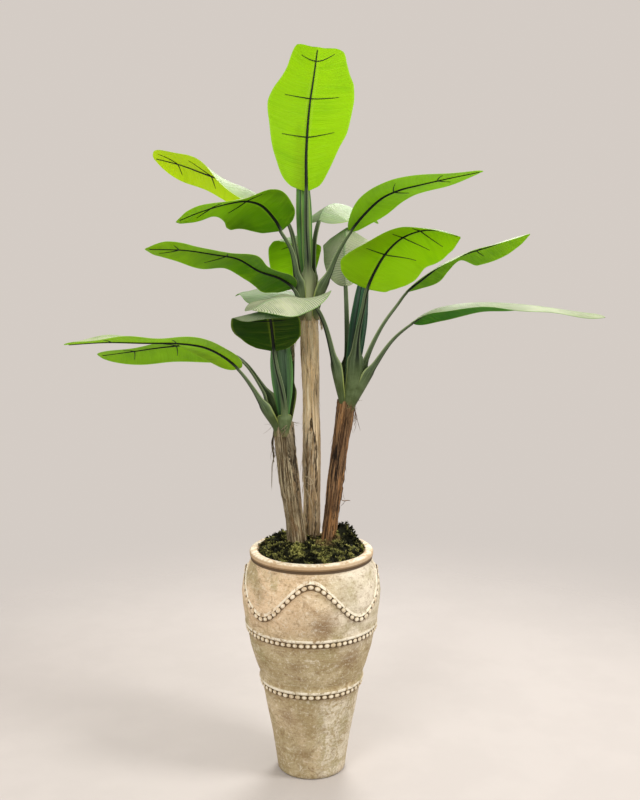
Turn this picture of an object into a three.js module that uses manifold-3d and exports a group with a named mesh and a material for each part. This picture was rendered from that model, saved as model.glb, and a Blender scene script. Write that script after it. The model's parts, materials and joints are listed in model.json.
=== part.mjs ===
// Potted banana plant: a tall beaded urn, its fill and moss, three fibrous trunks, three
// furled leaves and sixteen open leaves on long stalks.
// Millimetres. X right, Y away from the viewer, Z up, origin in the middle of the flat base.
import * as THREE from "three";
import { mergeVertices } from "three/addons/utils/BufferGeometryUtils.js";
import Module from "manifold-3d";

const wasm = await Module();
wasm.setup();

// Clearance left between neighbouring pieces
const GAP = 0.3;
const TRUNK_GAP = 0.36;
// Distance of a midrib under its blade, and of its edges and the side wires
const SEAT = 0.4;
const EDGE_SEAT = 1.1;
// Slivers smaller than this are closed up after cutting
const SLIVER = 0.005;

// Urn: height and radius pairs, outside from the base up, then down the inside
const URN_OUTSIDE = [
  [0, 108], [5, 114], [60, 122], [130, 132], [206, 147], [300, 164], [325, 172], [329, 176],
  [335, 173], [352, 174], [387, 187], [449, 205], [519, 218], [523, 223], [530, 220],
  [592, 230], [634, 233], [676, 228], [707, 218], [724, 209.5], [738, 204], [749, 202],
  [755, 205.5], [767, 206.5], [774, 200],
];
const URN_INSIDE = [
  [774, 181], [768, 175], [744, 175], [700, 192], [600, 203], [379, 157], [28, 92], [28, 0],
];
const URN_SIDES = 32;

// Bead trims: two level rings and one rope that rises and falls four times round the shoulder
const TRIMS = [
  { z: 511, swing: 0, beads: 66 }, { z: 316, swing: 0, beads: 48 },
  { z: 646, swing: 62, beads: 80 },
];
const ROPE_WAVES = 4;
// Half height and stand-out of a bead at its middle and where it meets the next one
const BEAD = { half: 9.5, proud: 8 };
const BEAD_NECK = { half: 7, proud: 2 };
const BEAD_ROOT = 6; // how far a trim is sunk in the wall

// Fill and moss
const FILL_TOP = 750;
const WALL_GAP = 0.9; // clearance of the fill from the sloping wall
const MOSS_RADIUS = 173.5;
const MOSS_TOP = 772; // height at its edge, before the lumps
const MOSS_DOME = 14; // how much higher it is in the middle
const MOSS_RINGS = [42, 88, 132, MOSS_RADIUS];
const MOSS_SIDES = 20;
const MOSS_EDGE = 25; // width over which the mounds die out at the rim
const MOUNDS = [
  { x: -95, y: 60, reach: 62, rise: 28 }, { x: 112, y: 78, reach: 42, rise: 60 },
  { x: 12, y: -70, reach: 50, rise: 12 }, { x: -60, y: -60, reach: 45, rise: 14 },
  { x: 120, y: -30, reach: 40, rise: 12 },
];

// Trunks: axis points from the hole in the fill to the crown, foot and crown radius
const TRUNK_SIDES = 10;
const TRUNK_ROWS = 8;
// Ridges that run up a trunk: share of the radius, how many, and how far they drift round
const TRUNK_RIDGES = [[0.05, 3, 4], [0.04, 5, -9]];
const KNOT = 0.03; // swelling of the leaf scars, as a share of the radius
const KNOT_PITCH = 17; // radians from the foot to the crown
// A loose strip from its root to its torn end: place, stand-out and width as shares of its own
const STRIP_SHAPE = [[0, 0, 0.8], [0.3, 0.55, 1], [1, 1, 0.3]];
const STRIP_ROOT = 5; // how far a strip starts inside the bark
const STRIP_THICK = 2.4;
const TRUNKS = [
  { name: "middle", axis: [[-2, 98, 690], [2, 95, 900], [0, 88, 1200], [-8, 78, 1572]],
    foot: 28, crown: 31, phase: 0.4,
    flaps: [
      { turn: 200, from: 1562, to: 1395, out: 32, wide: 26 },
      { turn: 345, from: 1558, to: 1500, out: 9, wide: 20 },
      { turn: 262, from: 1160, to: 1090, out: 9, wide: 16 },
      { turn: 80, from: 1556, to: 1470, out: 14, wide: 22 },
    ] },
  { name: "left", axis: [[-40, 0, 690], [-50, -2, 820], [-74, 0, 1020], [-92, 2, 1205]],
    foot: 30, crown: 35, phase: 2.1,
    flaps: [
      { turn: 170, from: 1188, to: 1070, out: 9, wide: 22 },
      { turn: 300, from: 1196, to: 1110, out: 7, wide: 24 },
      { turn: 60, from: 1190, to: 1090, out: 12, wide: 20 },
    ] },
  { name: "right", axis: [[52, 58, 690], [64, 58, 830], [90, 60, 1060], [118, 60, 1272]],
    foot: 26, crown: 30, phase: 4.0,
    flaps: [
      { turn: 285, from: 1262, to: 1190, out: 6, wide: 20 },
      { turn: 120, from: 1262, to: 1150, out: 11, wide: 22 },
      { turn: 10, from: 1250, to: 1180, out: 9, wide: 18 },
    ] },
];

// Furled leaves: tall pleated spindles that stand in the crowns
const SPEAR_PLEATS = 6;
const PLEAT_DEPTH = 0.22; // share of the radius
const SPEAR_TWIST = 0.9; // radians from the foot to the tip
const SPEARS = [
  { name: "middle", axis: [[-8, 78, 1546], [-20, 82, 1760], [-27, 88, 1960], [-35, 104, 2185]],
    radius: [9, 15, 24, 27, 22, 13, 3] },
  { name: "left", axis: [[-90, 2, 1178], [-92, -2, 1290], [-100, -4, 1430], [-104, 2, 1590]],
    radius: [12, 22, 33, 38, 32, 19, 3] },
  { name: "right", axis: [[118, 62, 1246], [142, 60, 1420], [166, 54, 1620], [184, 52, 1765]],
    radius: [10, 19, 27, 30, 25, 14, 3] },
];

// Open leaves. path: stalk points then blade points. stalk: how many belong to the stalk.
// sheath: how tall the sheath is against the usual one.
// up: rough direction of the top face. left, right: degrees that each half lifts at the base,
// middle and tip. half: half width. wide: where the blade is widest, full: how square its base
// is, blunt: how pointed its tip is. edges: in their place, rows of the place along the blade
// and the half width on the left and on the right.
// wave: edge height, count and phase.
// wires: place along the blade and reach across it, for each pair of side wires.
const LEAVES = [
  { name: "middle_top", crown: "middle", stalk: 4, up: [0, 1, 0],
    path: [[-8, 54, 1548], [-9, 48, 1640], [-10, 44, 1720], [-15, 45, 1830], [-15, 45, 1950],
      [-15, 60, 2080], [-5, 80, 2215], [10, 110, 2320], [22, 150, 2412]],
    left: [6, 8, 10], right: [6, 8, 10],
    edges: [[0.04, 44, 52], [0.11, 66, 79], [0.21, 89, 97], [0.3, 106, 112], [0.43, 131, 125],
      [0.58, 140, 138], [0.65, 142, 130], [0.77, 134, 103], [0.84, 117, 91], [0.91, 102, 83],
      [0.97, 88, 70]],
    wave: [3, 2, 0], wires: [[0.36, 0.68], [0.62, 0.64], [0.87, 0.6]] },
  { name: "middle_upper_left", crown: "middle", stalk: 4, up: [0, 0, 1],
    path: [[-30, 88, 1548], [-36, 98, 1640], [-46, 112, 1740], [-75, 130, 1850],
      [-130, 150, 1905], [-205, 185, 1955], [-285, 225, 1985], [-360, 260, 2010],
      [-445, 300, 2040], [-545, 340, 2065]],
    left: [-44, 20, 30], right: [-45, -37, -33], half: 125, wide: 0.45,
    wave: [6, 2, 0], wires: [[0.4, 0.6], [0.75, 0.6]] },
  { name: "middle_left", crown: "middle", stalk: 3, up: [0, 0, 1],
    path: [[-28, 58, 1548], [-42, 42, 1660], [-62, 28, 1765], [-95, 15, 1825],
      [-115, 0, 1860], [-155, -30, 1905], [-200, -70, 1920], [-245, -110, 1915],
      [-300, -155, 1900], [-355, -190, 1880], [-405, -220, 1858]],
    left: [45, 8, 25], right: [-36, -38, -25],
    edges: [[0.04, 52, 66], [0.13, 88, 104], [0.27, 112, 132], [0.4, 124, 142], [0.53, 128, 98],
      [0.68, 118, 56], [0.86, 86, 46], [0.94, 52, 38]],
    wave: [6, 2, 1], wires: [[0.4, 0.6], [0.75, 0.6]] },
  { name: "middle_low_left", crown: "middle", stalk: 2, up: [0, 0, 1],
    path: [[-33, 66, 1548], [-40, 45, 1605], [-55, 25, 1640], [-100, 0, 1675],
      [-165, -30, 1700], [-230, -65, 1740], [-300, -100, 1755], [-390, -140, 1770],
      [-505, -190, 1775]],
    left: [22, 5, 25], right: [-38, -28, -15],
    edges: [[0.04, 38, 60], [0.13, 70, 92], [0.27, 66, 62], [0.42, 112, 80], [0.57, 124, 112],
      [0.76, 64, 84], [0.9, 66, 84]],
    wave: [6, 2, 2], wires: [[0.35, 0.6], [0.75, 0.6]] },
  { name: "middle_right", crown: "middle", stalk: 4, up: [0, 0, 1],
    path: [[14, 60, 1548], [24, 40, 1610], [52, 20, 1680], [88, 0, 1765], [125, -10, 1825],
      [170, -20, 1880], [225, -40, 1930], [280, -60, 1955], [340, -80, 1970],
      [430, -105, 1990], [530, -130, 2010]],
    left: [-26, -8, -3], right: [20, 14, 5], half: 120, wide: 0.55, full: 1.9,
    wave: [3, 2, 0.5], wires: [[0.4, 0.6], [0.7, 0.6]] },
  { name: "middle_back_right", crown: "middle", stalk: 3, up: [0, 0, 1],
    path: [[8, 96, 1548], [6, 112, 1720], [12, 120, 1800], [25, 132, 1855], [45, 190, 1895],
      [75, 270, 1910], [115, 360, 1905], [160, 460, 1885], [190, 540, 1860]],
    left: [-30, -26, -20], right: [-34, -28, -20], half: 115, wide: 0.45,
    wave: [8, 2, 0], wires: [[0.4, 0.5]] },
  { name: "middle_back", crown: "middle", stalk: 2, up: [0, 0.3, 1],
    path: [[-12, 104, 1548], [-24, 128, 1700], [-36, 155, 1778], [-48, 190, 1805],
      [-56, 225, 1788], [-60, 254, 1735], [-60, 272, 1670], [-59, 282, 1615]],
    left: [-18, -14, -10], right: [-22, -18, -14], half: 92, wide: 0.3,
    wave: [8, 2, 0], wires: [[0.4, 0.5]] },
  { name: "left_front_arm", crown: "left", stalk: 3, up: [0, 0, 1],
    path: [[-112, -14, 1180], [-146, -30, 1250], [-186, -50, 1325], [-230, -75, 1390],
      [-280, -95, 1435], [-335, -115, 1465], [-410, -140, 1480], [-515, -170, 1485],
      [-635, -200, 1490], [-755, -230, 1485]],
    left: [16, 17, 15], right: [-34, 5, 8], half: 112, wide: 0.4,
    wave: [4, 3, 0], wires: [[0.4, 0.5], [0.75, 0.6]] },
  { name: "left_back_arm", crown: "left", stalk: 4, up: [0, 0, 1],
    path: [[-112, 18, 1180], [-134, 14, 1270], [-172, 12, 1340], [-207, 12, 1390],
      [-245, 28, 1420], [-305, 54, 1440], [-380, 80, 1450], [-485, 102, 1440],
      [-600, 118, 1422], [-715, 128, 1405]],
    left: [22, 12, 14], right: [-40, -34, -26], half: 116, wide: 0.45, blunt: 0.4,
    wave: [3, 2, 1], wires: [[0.45, 0.6], [0.75, 0.6]] },
  { name: "left_front", crown: "left", stalk: 4, sheath: 0.6, up: [0, 0, 1],
    path: [[-86, -26, 1180], [-86, -42, 1250], [-95, -52, 1320], [-110, -60, 1390],
      [-118, -68, 1445], [-121, -88, 1490], [-124, -118, 1535], [-127, -155, 1570],
      [-130, -200, 1590], [-132, -250, 1590], [-134, -300, 1572]],
    left: [2, -10, -12], right: [0, -14, -15],
    edges: [[0.04, 46, 58], [0.13, 76, 95], [0.27, 94, 118], [0.45, 96, 124], [0.62, 90, 118],
      [0.78, 74, 95], [0.92, 50, 62]],
    wave: [6, 2, 0], wires: [[0.4, 0.5]] },
  { name: "left_back", crown: "left", stalk: 4, up: [0, 0, 1],
    path: [[-80, 30, 1180], [-68, 36, 1295], [-64, 62, 1435], [-70, 105, 1520],
      [-90, 145, 1570], [-118, 190, 1600], [-148, 245, 1615], [-178, 305, 1618],
      [-205, 365, 1605]],
    left: [-8, -8, -8], right: [-8, -8, -8], half: 105, wide: 0.45,
    wave: [7, 2, 0], wires: [[0.4, 0.5]] },
  { name: "right_front", crown: "right", stalk: 4, sheath: 1.25, up: [0, 0.55, 1],
    path: [[122, 38, 1246], [144, 18, 1360], [150, 0, 1480], [168, -10, 1580],
      [180, -15, 1640], [205, -25, 1700], [240, -50, 1760], [285, -80, 1805],
      [345, -125, 1830], [400, -170, 1830], [455, -210, 1812]],
    left: [-38, -45, -31], right: [-6, -18, -14],
    edges: [[0.03, 58, 80], [0.06, 72, 110], [0.1, 88, 135], [0.2, 112, 155], [0.3, 122, 150],
      [0.4, 124, 138], [0.6, 120, 115], [0.8, 99, 95], [0.92, 66, 62]],
    wave: [5, 2, 0], wires: [[0.3, 0.7], [0.55, 0.6], [0.72, 0.6]] },
  { name: "right_arm", crown: "right", stalk: 5, up: [0, 0, 1],
    path: [[138, 54, 1246], [158, 52, 1320], [182, 55, 1415], [230, 60, 1515],
      [280, 65, 1585], [310, 65, 1625], [365, 60, 1670], [425, 55, 1715], [500, 50, 1750],
      [580, 40, 1775], [650, 30, 1800], [705, 20, 1815]],
    left: [-38, -34, -28], right: [5, 4, 3],
    edges: [[0.08, 36, 50], [0.24, 70, 84], [0.36, 50, 96], [0.46, 30, 98], [0.58, 98, 98],
      [0.78, 86, 80], [0.92, 55, 50]],
    wave: [3, 2, 0], wires: [[0.4, 0.5]] },
  { name: "right_low_arm", crown: "right", stalk: 4, up: [0, 0, 1],
    path: [[134, 48, 1238], [170, 34, 1325], [212, 24, 1400], [268, 14, 1480],
      [325, 5, 1530], [385, -10, 1570], [455, -20, 1590], [555, -45, 1600],
      [680, -70, 1595], [805, -95, 1580], [925, -120, 1560]],
    left: [-36, -16, 4], right: [-2, -3, -5], half: 106, wide: 0.35,
    wave: [3, 3, 0], wires: [[0.4, 0.5]] },
  { name: "right_cross", crown: "right", stalk: 4, up: [0, 0, 1],
    path: [[104, 46, 1242], [90, 22, 1335], [70, -16, 1435], [42, -62, 1540],
      [16, -96, 1592], [-20, -138, 1616], [-64, -188, 1629], [-106, -234, 1628],
      [-142, -276, 1617], [-174, -314, 1600]],
    left: [46, -28, -18], right: [18, -10, -12], half: 108, wide: 0.4, full: 3.2,
    wave: [5, 2, 0], wires: [[0.4, 0.5]] },
  { name: "right_back", crown: "right", stalk: 3, up: [0, -0.7, 1],
    path: [[112, 82, 1246], [120, 92, 1395], [118, 100, 1530], [114, 106, 1640],
      [110, 116, 1700], [110, 138, 1760], [115, 178, 1798], [116, 240, 1822],
      [124, 320, 1828], [135, 400, 1815]],
    left: [-50, -42, -30], right: [-40, -30, -20], half: 100, wide: 0.4,
    wave: [7, 2, 0], wires: [[0.4, 0.5]] },
];

// Blade mesh: places along the blade and across it, and the sheet's thickness
const ALONG = [0, 0.04, 0.13, 0.27, 0.45, 0.62, 0.78, 0.92, 1];
const ACROSS = [-1, -0.5, 0, 0.5, 1];
const NORMAL_STEPS = [0.01, 0.3, 0.05]; // along, across at the midrib, across elsewhere
const SHEET = 1.0;
const END_HALF = 6; // half width left at the tip
// Usual outline: how square the base is, how soon and how bluntly the tip closes
const FULL = 2.5;
const TAPER = 2.9;
const BLUNT = 0.6;
const WAVE_LAG = 1.3; // radians between the waves of the two edges
const WAVE_RISE = 6; // the wave is whole at one sixth of the length

// Sheath and stalk from the foot up: height on the stem, half width, depth and edge lift.
// On a short stem the heights shrink in proportion; the last two are shares of the stem.
const SHEATH = [[0, 11.5, 7, 2], [55, 19, 12, 6], [116, 22, 14, 8], [148, 16, 13, 7], [182, 10.5, 12, 4]];
const SHEATH_STEM = 330;
const STALK = [[0.72, 8, 9.5, 1.5], [1, 7, 8.5, 0]];
// Midrib half width and depth at the blade's base and tip, side wires
const MIDRIB = { base: [6.5, 8], tip: [1.6, 2.4] };
// The flat underneath a stalk or midrib: share of its half width and of its depth
const FLAT = { half: 0.55, depth: 0.9 };
const WIRE = { half: 1.6, depth: 2.2, slant: 0.04 };

// Small vector helpers
const vec = (p) => new THREE.Vector3(p[0], p[1], p[2]);
const rad = (degrees) => (degrees * Math.PI) / 180;
const mix = (a, b, f) => a + (b - a) * f;
const place = (o, s, n, x, y) => o.clone().addScaledVector(s, x).addScaledVector(n, y);

// Value between rows of [at, value, value ...]
function between(rows, at) {
  let i = 0;
  while (i < rows.length - 2 && rows[i + 1][0] < at) i += 1;
  const f = THREE.MathUtils.clamp((at - rows[i][0]) / (rows[i + 1][0] - rows[i][0]), 0, 1);
  return rows[i].slice(1).map((v, k) => mix(v, rows[i + 1][k + 1], f));
}
const three = (values, t) => between(values.map((v, i) => [i / 2, v]), t)[0];

// Smooth path through points, measured by length between two of them
class Path {
  constructor(points, first = 0, last = points.length - 1) {
    this.curve = new THREE.CatmullRomCurve3(points.map(vec), false, "centripetal");
    const steps = 160;
    const span = points.length - 1;
    this.at = [];
    let length = 0;
    let before = null;
    for (let i = 0; i <= steps; i += 1) {
      const u = mix(first, last, i / steps) / span;
      const p = this.curve.getPoint(u);
      if (before) length += p.distanceTo(before);
      this.at.push([length, u]);
      before = p;
    }
    this.length = length;
  }
  param(f) { return between(this.at, f * this.length)[0]; }
  point(f) { return this.curve.getPoint(this.param(f)); }
  tangent(f) { return this.curve.getTangent(this.param(f)).normalize(); }
}

// Solid from vertices and triangles, turned outwards
function solid(points, triangles) {
  const make = (order) => new wasm.Manifold(new wasm.Mesh({
    numProp: 3,
    vertProperties: new Float32Array(points.flatMap((p) => [p.x, p.y, p.z])),
    triVerts: new Uint32Array(triangles.flatMap(order)),
  }));
  const made = make((t) => t);
  return made.volume() > 0 ? made : make((t) => [t[0], t[2], t[1]]);
}

// Solid skin over a row of rings with the same number of points, fanned shut at both ends
function loft(rings) {
  const n = rings[0].length;
  const points = rings.flat();
  const triangles = [];
  for (let i = 0; i < rings.length - 1; i += 1) {
    for (let j = 0; j < n; j += 1) {
      const a = i * n + j;
      const b = i * n + ((j + 1) % n);
      triangles.push([a, b, b + n], [a, b + n, a + n]);
    }
  }
  [0, rings.length - 1].forEach((row, end) => {
    const middle = new THREE.Vector3();
    rings[row].forEach((p) => middle.addScaledVector(p, 1 / n));
    points.push(middle);
    for (let j = 0; j < n; j += 1) {
      const a = row * n + j;
      const b = row * n + ((j + 1) % n);
      triangles.push(end ? [a, b, points.length - 1] : [b, a, points.length - 1]);
    }
  });
  return solid(points, triangles);
}

// The end rings moved outwards along the path
function lengthen(rings, path, by) {
  rings[0].forEach((p) => p.addScaledVector(path.tangent(0), -by));
  rings.at(-1).forEach((p) => p.addScaledVector(path.tangent(1), by));
  return rings;
}

const fuse = (parts) => wasm.Manifold.union(parts);
const largest = (made) => made.decompose().reduce((a, b) => (b.volume() > a.volume() ? b : a))
  .simplify(SLIVER);

// Straight frame across a path: side and up, from a rough up direction
function across(tangent, up) {
  const side = new THREE.Vector3().crossVectors(tangent, up).normalize();
  return { side, up: new THREE.Vector3().crossVectors(side, tangent).normalize() };
}

// Urn
function urnProfile() {
  const pair = ([z, r]) => new THREE.Vector2(r, z);
  return [new THREE.Vector2(0, 0), ...URN_OUTSIDE.map(pair), ...URN_INSIDE.map(pair)];
}
function turned(profile, sides) {
  const g = new THREE.LatheGeometry(profile, sides).rotateX(Math.PI / 2);
  g.deleteAttribute("normal");
  g.deleteAttribute("uv");
  const m = mergeVertices(g, 1e-3);
  const p = m.getAttribute("position");
  const points = [];
  for (let i = 0; i < p.count; i += 1) points.push(new THREE.Vector3().fromBufferAttribute(p, i));
  const triangles = [];
  for (let i = 0; i < m.index.count; i += 3) {
    const t = [m.index.getX(i), m.index.getX(i + 1), m.index.getX(i + 2)];
    if (new Set(t).size === 3) triangles.push(t);
  }
  return solid(points, triangles);
}
const wallRadius = (z) => between(URN_OUTSIDE, z)[0];

// A closed row of beads: its section swells and shrinks once for each bead
function trim({ z, swing, beads }) {
  const stations = beads * 2;
  const points = [];
  const triangles = [];
  for (let i = 0; i < stations; i += 1) {
    const turn = (i / stations) * Math.PI * 2;
    const wave = ROPE_WAVES * (turn + Math.PI / 2);
    const height = z + swing * Math.cos(wave);
    const slope = (-swing * ROPE_WAVES * Math.sin(wave)) / wallRadius(height);
    const out = new THREE.Vector3(Math.cos(turn), Math.sin(turn), 0);
    const over = new THREE.Vector3(Math.sin(turn) * slope, -Math.cos(turn) * slope, 1).normalize();
    const centre = out.clone().multiplyScalar(wallRadius(height)).setZ(height);
    const { half, proud } = i % 2 ? BEAD : BEAD_NECK;
    [[-BEAD_ROOT, -half], [proud, 0], [-BEAD_ROOT, half]]
      .forEach(([x, y]) => points.push(place(centre, out, over, x, y)));
  }
  for (let i = 0; i < stations; i += 1) {
    for (let j = 0; j < 3; j += 1) {
      const [a, b] = [i * 3 + j, i * 3 + ((j + 1) % 3)];
      const [c, d] = [a, b].map((k) => (k + 3) % points.length);
      triangles.push([a, b, d], [a, d, c]);
    }
  }
  return solid(points, triangles);
}
function urn() {
  return largest(turned(urnProfile(), URN_SIDES).add(fuse(TRIMS.map(trim))));
}

// Fill: the inside of the urn less the clearance, flat on top
function fill() {
  const wall = URN_INSIDE.slice(0, -1).reverse();
  const floor = wall[0][0];
  const top = between(wall, FILL_TOP)[0];
  const rows = [[floor, 0], ...wall.filter(([z]) => z < FILL_TOP), [FILL_TOP, top], [FILL_TOP, 0]];
  const profile = rows.map(([z, r]) => new THREE.Vector2(
    Math.max(0, r - WALL_GAP),
    Math.max(z, floor + GAP),
  ));
  return turned(profile, URN_SIDES);
}

// Moss: a lumpy cushion on the fill
function mossHeight(x, y) {
  const r = Math.hypot(x, y);
  const dome = MOSS_DOME * (1 - (r / MOSS_RADIUS) ** 2);
  const lumps = 4 * Math.sin(x / 17) * Math.cos(y / 15) + 3 * Math.sin(x / 9 + y / 11);
  const mounds = MOUNDS.reduce((h, m) => h + m.rise
    * Math.exp(-((x - m.x) ** 2 + (y - m.y) ** 2) / m.reach ** 2), 0);
  const edge = Math.min(1, (MOSS_RADIUS - r) / MOSS_EDGE + 0.25);
  return MOSS_TOP + dome + (lumps + mounds) * edge;
}
function moss() {
  const bottom = FILL_TOP + GAP;
  const ringAt = (r, height) => Array.from({ length: MOSS_SIDES }, (_, i) => {
    const a = (i / MOSS_SIDES) * Math.PI * 2;
    const x = r * Math.cos(a);
    const y = r * Math.sin(a);
    return new THREE.Vector3(x, y, height(x, y));
  });
  const tops = [...MOSS_RINGS].reverse().map((r) => ringAt(r, mossHeight));
  return loft([ringAt(MOSS_RADIUS, () => bottom), ...tops]);
}

// Trunk: a ridged, slightly leaning stem with loose strips of fibre at the crown
function trunk(t, grow) {
  const path = new Path(t.axis);
  const rings = [];
  for (let i = 0; i <= TRUNK_ROWS; i += 1) {
    const f = i / TRUNK_ROWS;
    const o = path.point(f);
    const frame = across(path.tangent(f), new THREE.Vector3(0, 1, 0));
    rings.push(Array.from({ length: TRUNK_SIDES }, (_, j) => {
      const a = (j / TRUNK_SIDES) * Math.PI * 2;
      const ridge = TRUNK_RIDGES.reduce((sum, [share, count, drift]) => sum
        + share * Math.sin(count * a + drift * f + t.phase), 1);
      const knot = 1 + KNOT * Math.sin(KNOT_PITCH * f + t.phase);
      const r = mix(t.foot, t.crown, f) * ridge * knot + grow;
      return place(o, frame.side, frame.up, r * Math.cos(a), r * Math.sin(a));
    }));
  }
  return { body: loft(lengthen(rings, path, grow)), path };
}
// A strip of fibre that starts in the bark and hangs a little clear of it
function flap(t, path, strip) {
  const f = (z) => (z - t.axis[0][2]) / (t.axis.at(-1)[2] - t.axis[0][2]);
  const a = rad(strip.turn);
  const out = new THREE.Vector3(Math.cos(a), Math.sin(a), 0);
  const side = new THREE.Vector3(-Math.sin(a), Math.cos(a), 0);
  return loft(STRIP_SHAPE.map(([down, away, size]) => {
    const z = mix(strip.from, strip.to, down);
    const r = mix(t.foot, t.crown, f(z)) + (away ? strip.out * away : -STRIP_ROOT);
    const o = path.point(f(z)).addScaledVector(out, r).setZ(z);
    const half = (strip.wide / 2) * size;
    return [[-half, 0], [0, STRIP_THICK], [half, 0], [0, -STRIP_THICK]]
      .map(([x, y]) => place(o, side, out, x, y));
  }));
}

// Furled leaf: pleats round a spindle, with a slight twist
function spear(s, grow) {
  const path = new Path(s.axis);
  const last = s.radius.length - 1;
  return loft(lengthen(s.radius.map((radius, i) => {
    const f = i / last;
    const frame = across(path.tangent(f), new THREE.Vector3(0, 1, 0));
    const o = path.point(f);
    return Array.from({ length: SPEAR_PLEATS * 2 }, (_, j) => {
      const a = (j / SPEAR_PLEATS) * Math.PI + f * SPEAR_TWIST;
      const r = radius * (j % 2 ? 1 - PLEAT_DEPTH : 1) + grow;
      return place(o, frame.side, frame.up, r * Math.cos(a), r * Math.sin(a));
    });
  }), path, grow));
}

// Blade outline: share of the half width at a place along the blade
function outline(leaf, t) {
  const s = t < leaf.wide ? 1 - t / leaf.wide : (t - leaf.wide) / (1 - leaf.wide);
  return t < leaf.wide ? Math.sqrt(1 - s ** (leaf.full ?? FULL)) : (1 - s ** TAPER) ** (leaf.blunt ?? BLUNT);
}
class Leaf {
  constructor(row) {
    Object.assign(this, row);
    this.blade = new Path(row.path, row.stalk, row.path.length - 1);
    this.stem = new Path(row.path, 0, row.stalk);
    const top = TRUNKS.find((t) => t.name === row.crown).axis.at(-1);
    this.inward = vec(top).sub(vec(row.path[0])).setZ(0).normalize();
  }
  frame(t) {
    return { at: this.blade.point(t), ...across(this.blade.tangent(t), vec(this.up)) };
  }
  // Half width of the side that u is on, from the leaf's own table or the usual outline
  width(t, u) {
    if (!this.edges) return Math.max(this.half * outline(this, t), END_HALF);
    const rows = [[0, END_HALF, END_HALF], ...this.edges, [1, END_HALF, END_HALF]];
    const k = Math.max(1, rows.findIndex((r) => r[0] >= t));
    const [a, b] = [rows[k - 1], rows[k]];
    const side = u < 0 ? 1 : 2;
    return mix(a[side], b[side], (t - a[0]) / (b[0] - a[0]));
  }
  // A point of the blade's middle surface, u from one edge to the other
  surface(t, u) {
    const f = this.frame(t);
    const w = this.width(t, u) * Math.abs(u);
    const lift = rad(three(u < 0 ? this.left : this.right, t));
    const [height, count, phase] = this.wave;
    const turn = Math.PI * 2 * count * t + phase + (u < 0 ? WAVE_LAG : 0);
    const ripple = height * u * u * Math.sin(turn) * Math.min(1, WAVE_RISE * t);
    return place(f.at, f.side, f.up, Math.sign(u) * w * Math.cos(lift), w * Math.sin(lift) + ripple);
  }
  normal(t, u) {
    const [e, over0, over1] = NORMAL_STEPS;
    const { clamp } = THREE.MathUtils;
    const at = (a, b) => this.surface(clamp(a, 0, 1), clamp(b, -1, 1));
    const along = at(t + e, u).sub(at(t - e, u));
    const step = u === 0 ? over0 : over1;
    const over = at(t, u + step).sub(at(t, u - step));
    return new THREE.Vector3().crossVectors(over, along).normalize();
  }
  // The sheet: the same split of triangles on both faces and a rim round them
  sheet(grow) {
    const n = ACROSS.length;
    const m = ALONG.length;
    const points = [];
    for (const side of [1, -1]) {
      for (const t of ALONG) {
        const ends = t === 0 ? -grow : t === 1 ? grow : 0;
        for (const u of ACROSS) {
          points.push(this.surface(t, u).addScaledVector(this.normal(t, u), side * (SHEET / 2 + grow))
            .addScaledVector(this.frame(t).side, Math.trunc(u) * grow)
            .addScaledVector(this.blade.tangent(t), ends));
        }
      }
    }
    const triangles = [];
    const under = n * m;
    for (let i = 0; i < m - 1; i += 1) {
      for (let j = 0; j < n - 1; j += 1) {
        const a = i * n + j;
        const cells = [[a, a + 1, a + n + 1], [a, a + n + 1, a + n]];
        for (const c of cells) triangles.push(c, [c[0] + under, c[2] + under, c[1] + under]);
      }
    }
    const rim = [];
    for (let j = 0; j < n; j += 1) rim.push(j);
    for (let i = 1; i < m; i += 1) rim.push(i * n + n - 1);
    for (let j = n - 2; j >= 0; j -= 1) rim.push((m - 1) * n + j);
    for (let i = m - 2; i > 0; i -= 1) rim.push(i * n);
    rim.forEach((a, k) => {
      const b = rim[(k + 1) % rim.length];
      triangles.push([b, a, a + under], [b, a + under, b + under]);
    });
    return solid(points, triangles);
  }
  // Five-sided channel section, open side up
  section(o, side, up, half, depth, liftLeft, liftRight, grow) {
    const down = -SHEET / 2 - SEAT;
    const foot = -depth * FLAT.depth;
    const ring = [[-half, liftLeft], [-half * FLAT.half, foot], [half * FLAT.half, foot],
      [half, liftRight], [0, 0]];
    return ring.map(([x, y]) => {
      const middle = y + depth / 2;
      const bigger = grow / (Math.hypot(x, middle) || 1);
      return place(o, side, up, x + x * bigger, y + down + middle * bigger);
    });
  }
  // Sheath, stalk, midrib and side wires in one moulded piece under the blade
  stemSolid(grow) {
    const rings = [];
    const start = this.frame(0);
    const length = this.stem.length;
    const shrink = ((this.sheath ?? 1) * Math.min(1, length / SHEATH_STEM)) / length;
    const sheath = SHEATH.map(([height, ...rest]) => [height * shrink, ...rest]);
    for (const [share, half, depth, lift] of [...sheath, ...STALK]) {
      const ease = THREE.MathUtils.smoothstep(share, 0, 1);
      const rough = this.inward.clone().lerp(start.up, ease);
      const f = across(this.stem.tangent(share), rough);
      const lifts = [this.left, this.right]
        .map((side) => (share < 1 ? lift : half * Math.sin(rad(side[0]))));
      rings.push(this.section(this.stem.point(share), f.side, f.up, half, depth, ...lifts, grow));
    }
    for (const t of ALONG.slice(1, -1)) {
      const up = this.normal(t, 0);
      const half = mix(MIDRIB.base[0], MIDRIB.tip[0], t) + grow;
      const deep = mix(MIDRIB.base[1], MIDRIB.tip[1], t) + grow;
      const [left, top, right] = [-half / this.width(t, -1), 0, half / this.width(t, 1)]
        .map((u) => this.under(t, u, (u ? EDGE_SEAT : SEAT) - grow));
      const foot = (p) => p.clone().lerp(top, 1 - FLAT.half).addScaledVector(up, -deep * FLAT.depth);
      rings.push([left, foot(left), foot(right), right, top]);
    }
    rings[0].forEach((p) => p.addScaledVector(this.stem.tangent(0), -grow));
    return loft(rings);
  }
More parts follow.
